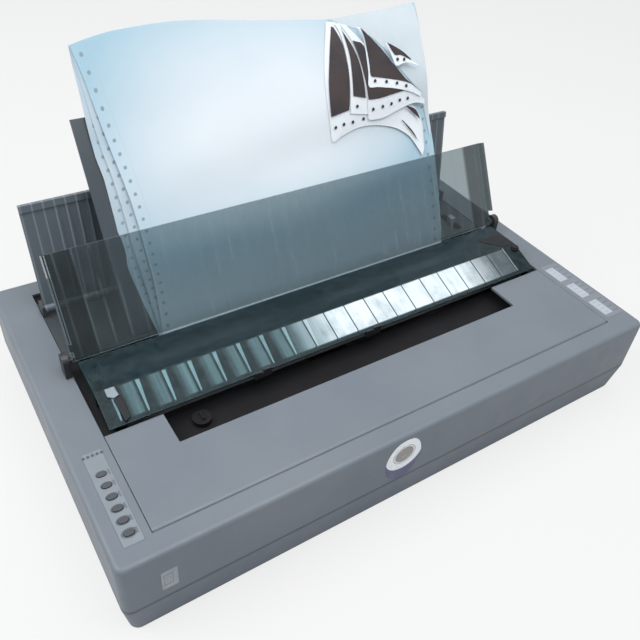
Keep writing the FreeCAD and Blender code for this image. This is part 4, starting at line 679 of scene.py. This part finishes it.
patch("corner_carbon_3",
      [(0.756, 6.6), (0.766, 6.0), (0.771, 5.5), (0.7721, 5.239), (0.7721, 4.95), (0.7762, 4.906),
       (0.814, 4.85),
       (0.8597, 4.836), (0.8863, 4.825), (0.9065, 4.832)],
      [(0.7802, 6.453), (0.789, 6.254), (0.7895, 5.9), (0.788, 5.5), (0.785, 5.3), (0.8, 5.2), (0.83, 5.1),
       (0.86, 5.0),
       (0.89, 4.9), (0.908, 4.835)],
      (5.2, 5.4), (5.2, 5.4), carbon, rows=37)
patch("corner_flap_4",
      [(0.7762, 7.11), (0.7904, 6.682), (0.7889, 6.012), (0.7847, 5.533), (0.7782, 5.227), (0.8067, 5.144),
       (0.8525, 5.002), (0.8996, 4.814), (0.9255, 4.68), (0.952, 4.506)],
      [(0.787, 7.05), (0.802, 6.7), (0.825, 6.3), (0.84, 6.05), (0.855, 5.8), (0.87, 5.6), (0.885, 5.35),
       (0.905, 5.1),
       (0.93, 4.85), (0.955, 4.6)],
      (5.6, 6.4), (5.6, 5.8), flap_white, rows=37, columns=11)
patch("corner_carbon_4",
      [(0.7873, 7.04), (0.793, 6.6), (0.7935, 6.0), (0.792, 5.7), (0.7904, 5.453), (0.8121, 5.367),
       (0.8569, 5.213),
       (0.8874, 5.102), (0.9181, 4.95), (0.9398, 4.767), (0.9576, 4.592)],
      [(0.7885, 7.02), (0.7988, 6.812), (0.815, 6.5), (0.832, 6.188), (0.85, 5.88), (0.8671, 5.61),
       (0.885, 5.36),
       (0.9042, 5.107), (0.92, 4.96), (0.94, 4.78), (0.958, 4.6)],
      (6.6, 6.6), (6.4, 6.4), carbon, rows=37)
patch("corner_flap_5",
      [(0.8574, 6.176), (0.8687, 5.799), (0.8771, 5.493), (0.9067, 5.491), (0.9287, 5.439),
       (0.9524, 5.314)],
      [(0.86, 6.17), (0.885, 5.95), (0.905, 5.76), (0.92, 5.6), (0.935, 5.47), (0.953, 5.33)],
      (6.9, 7.2), (6.8, 7.0), flap_white, rows=25)
patch("corner_carbon_5",
      [(0.862, 6.17), (0.8779, 5.776), (0.9, 5.7), (0.9303, 5.5)],
      [(0.864, 6.16), (0.8856, 5.969), (0.9074, 5.777), (0.931, 5.52)],
      (7.5, 7.5), (7.5, 7.5), carbon, rows=15)
patch("corner_gap_a", [(0.8996, 4.374), (0.9275, 4.1), (0.9475, 3.9)], [(0.903, 4.39), (0.933, 4.2),
 (0.9477, 3.88)],
      (5.6, 5.6), (5.6, 5.6), carbon)
patch("corner_gap_b", [(0.8791, 4.086), (0.9047, 3.75), (0.9281, 3.4)], [(0.885, 4.05), (0.914, 3.7),
 (0.9283, 3.39)],
      (5.0, 5.0), (5.0, 5.0), carbon)
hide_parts("form_flaps")


def circle(radius, sides=20):
    turns = [2 * math.pi * i / sides for i in range(sides)]
    return [(radius * math.cos(a), radius * math.sin(a)) for a in turns]


def as_mesh(name, shape):
    mesh = bpy.data.meshes.new(name)
    shape.to_mesh(mesh)
    shape.free()
    return mesh


# The sheets' sprocket holes, as discs of painted shadow: u, w and lift in mm.
CORNER_HOLES = [(0.6575, 4.512, 3.4), (0.6851, 4.517, 3.4), (0.7154, 4.49, 3.4), (0.7519, 4.47, 3.2),
                (0.733, 4.852, 4.9), (0.7838, 4.627, 5.6), (0.8169, 4.607, 5.6), (0.8475, 4.596, 5.6),
                (0.8777, 4.611, 5.6), (0.9061, 4.582, 5.6), (0.8003, 5.306, 6.9), (0.837, 5.198, 6.9),
                (0.8714, 5.077, 6.9), (0.902, 4.926, 6.9), (0.8854, 5.624, 7.7), (0.9071, 5.572, 7.7)]
discs = bmesh.new()
for u, w, lift in CORNER_HOLES:
    middle = on_form(u, w, lift * MM)
    right = (on_form(u + 0.01, w, lift * MM) - middle).normalized()
    up = (on_form(u, w + 0.05, lift * MM) - middle).normalized()
    discs.faces.new([discs.verts.new(middle + right * x + up * y) for x, y in circle(1.8 * MM)])
add_piece("corner_holes", as_mesh("corner_holes", discs), hole_dark)


# ---- small fittings at both ends of the strip
trim_black = moulded("fitting_black", (0.004, 0.005, 0.006), (0.009, 0.01, 0.012), 0.45, 0.25,
                     (0.05, 0.055, 0.06), 0.4, 0.4, shine=0.2)
trim_pale = moulded("fitting_pale", (0.12, 0.16, 0.19), (0.2, 0.25, 0.28), 0.3, 0.15, (0.35, 0.4, 0.43),
                    0.5, 0.4)
SLOPE_CREST, SLOPE_FRONT = Vector((0.0, -0.02, 0.117)), Vector((0.0, -0.0556, 0.1035))
SLOPE_NORMAL = Vector((0.0, -0.355, 0.935))


def on_slope(x, t, lift):
    """A point on the strip: t is 0 at its crest and 1 at its front edge."""
    return Vector((x, 0.0, 0.0)) + SLOPE_CREST.lerp(SLOPE_FRONT, t) + SLOPE_NORMAL * lift


def on_ledge(x, y, z):
    return Vector((x, y, z))


def fitting(name, outline, low, high, mat, place=on_slope, bevel=0.6):
    """A plate between two lifts, from an outline in places, with edges rounded by a bevel in mm."""
    shape = bmesh.new()
    lower = [shape.verts.new(place(a, b, low)) for a, b in outline]
    upper = [shape.verts.new(place(a, b, high)) for a, b in outline]
    shape.faces.new(lower)
    shape.faces.new(upper[::-1])
    for i in range(len(outline)):
        j = (i + 1) % len(outline)
        shape.faces.new((lower[j], lower[i], upper[i], upper[j]))
    bmesh.ops.recalc_face_normals(shape, faces=shape.faces[:])
    bmesh.ops.bevel(shape, geom=shape.edges[:], offset=bevel * MM, segments=2, profile=0.5, affect="EDGES")
    add_piece(name, as_mesh(name, shape), mat)


fitting("strip_left_bracket",
        [(-0.2525, 0.03), (-0.2435, 0.03), (-0.2425, 0.28), (-0.2475, 0.32), (-0.2525, 0.24)],
        0.0001, 0.0024, trim_pale)
fitting("strip_left_bar", [(-0.2485, 0.34), (-0.2405, 0.3), (-0.2405, 0.9), (-0.2465, 0.97)],
        0.0001, 0.0028, trim_black)
fitting("strip_right_edge", [(0.2378, 0.02), (0.2388, 0.02), (0.2388, 0.9), (0.2378, 0.9)],
        0.0001, 0.0018, trim_pale, bevel=0.3)
fitting("ledge_gusset", [(0.222, 0.004), (0.258, 0.006), (0.26, -0.018), (0.244, -0.019)],
        0.1168, 0.1175, trim_black, place=on_ledge, bevel=0.2)

# The knob stays under the smoked cover when that is folded forward, and inside its side wall.
KNOB_X, KNOB_Y = 0.2562, -0.0245
for name, radius, low, high, bevel in (("end_knob_base", 0.0056, 0.1145, 0.1166, 0.6),
                                       ("end_knob", 0.0042, 0.116, 0.1181, 0.4)):
    outline = [(KNOB_X + x, KNOB_Y + y) for x, y in circle(radius)]
    fitting(name, outline, low, high, trim_black, place=on_ledge, bevel=bevel)


# ---- floor, world, lamps and camera
bpy.ops.mesh.primitive_plane_add(size=14.0, location=(0, 0, 0))
floor = bpy.context.object
floor.name = "floor"
s = Shader("floor_paper")
tone = s.blend(s.span(s.noise(1.5, 3.0), 0.3, 0.7), (0.6, 0.6, 0.6), (0.62, 0.62, 0.62))
matt = s.new("BsdfPrincipled", {"Base Color": tone, "Roughness": 0.9, "Specular IOR Level": 0.1})
pale = s.new("Emission", {"Color": (0.95, 0.95, 0.95, 1.0)})
pale_share = s.times(s.new("LightPath").outputs["Is Camera Ray"], 0.78)
floor.data.materials.append(s.close(s.layer(pale_share, matt, pale)))

s = Shader("studio", bpy.data.worlds, "OutputWorld")
rays = s.new("LightPath").outputs
seen = s.math("MAXIMUM", s.math("MAXIMUM", rays["Is Camera Ray"], rays["Is Glossy Ray"]),
              rays["Is Transmission Ray"])
soft = s.new("Background", {"Color": (0.86, 0.93, 1.0, 1.0), "Strength": 0.42})
white = s.new("Background", {"Color": (1.0, 1.0, 1.0, 1.0), "Strength": 0.95})
bpy.context.scene.world = s.close(s.layer(seen, soft, white))


def lamp(name, place, aim, size, power):
    """A white rectangle of light that looks at a point."""
    light = bpy.data.lights.new(name, "AREA")
    light.shape = "RECTANGLE"
    light.size, light.size_y = size
    light.energy = power
    made = bpy.data.objects.new(name, light)
    made.location = place
    made.rotation_euler = (Vector(aim) - Vector(place)).to_track_quat("-Z", "Y").to_euler()
    bpy.context.scene.collection.objects.link(made)


lamp("key", (-1.5, 0.35, 1.7), (0, 0, 0.1), (1.4, 1.2), 34)
lamp("top", (0.2, 0.1, 2.2), (0, 0, 0), (1.8, 1.4), 16)
lamp("strip_glow", (1.2, 0.15, 1.75), (0.05, -0.03, 0.1), (0.9, 0.5), 2)
lamp("front_fill", (0.1, -1.1, 2.3), (0, 0, 0.15), (1.6, 1.0), 26)

# The camera that was fitted to the photo's edges.
YAW, PITCH, ROLL = (math.radians(angle) for angle in (35.95, 40.515, -5.429))
CAMERA_PLACE = Vector((-0.35038, -0.47389, 0.58599))
FOCAL_PIXELS, PHOTO_PIXELS, SENSOR = 700.08, 640.0, 36.0
forward = Vector((math.sin(YAW) * math.cos(PITCH), math.cos(YAW) * math.cos(PITCH), -math.sin(PITCH)))
level_right = forward.cross(Vector((0, 0, 1))).normalized()
level_down = forward.cross(level_right)
right = level_right * math.cos(ROLL) + level_down * math.sin(ROLL)
down = level_down * math.cos(ROLL) - level_right * math.sin(ROLL)
lens = bpy.data.cameras.new("photo_view")
lens.sensor_width = SENSOR
lens.lens = SENSOR * FOCAL_PIXELS / PHOTO_PIXELS
lens.clip_start, lens.clip_end = 0.02, 30.0
camera = bpy.data.objects.new("photo_view", lens)
bpy.context.scene.collection.objects.link(camera)
rotation = Matrix((right, -down, -forward)).transposed()
camera.matrix_world = Matrix.Translation(CAMERA_PLACE) @ rotation.to_4x4()
bpy.context.scene.camera = camera
bpy.context.scene.view_settings.view_transform = "Standard"
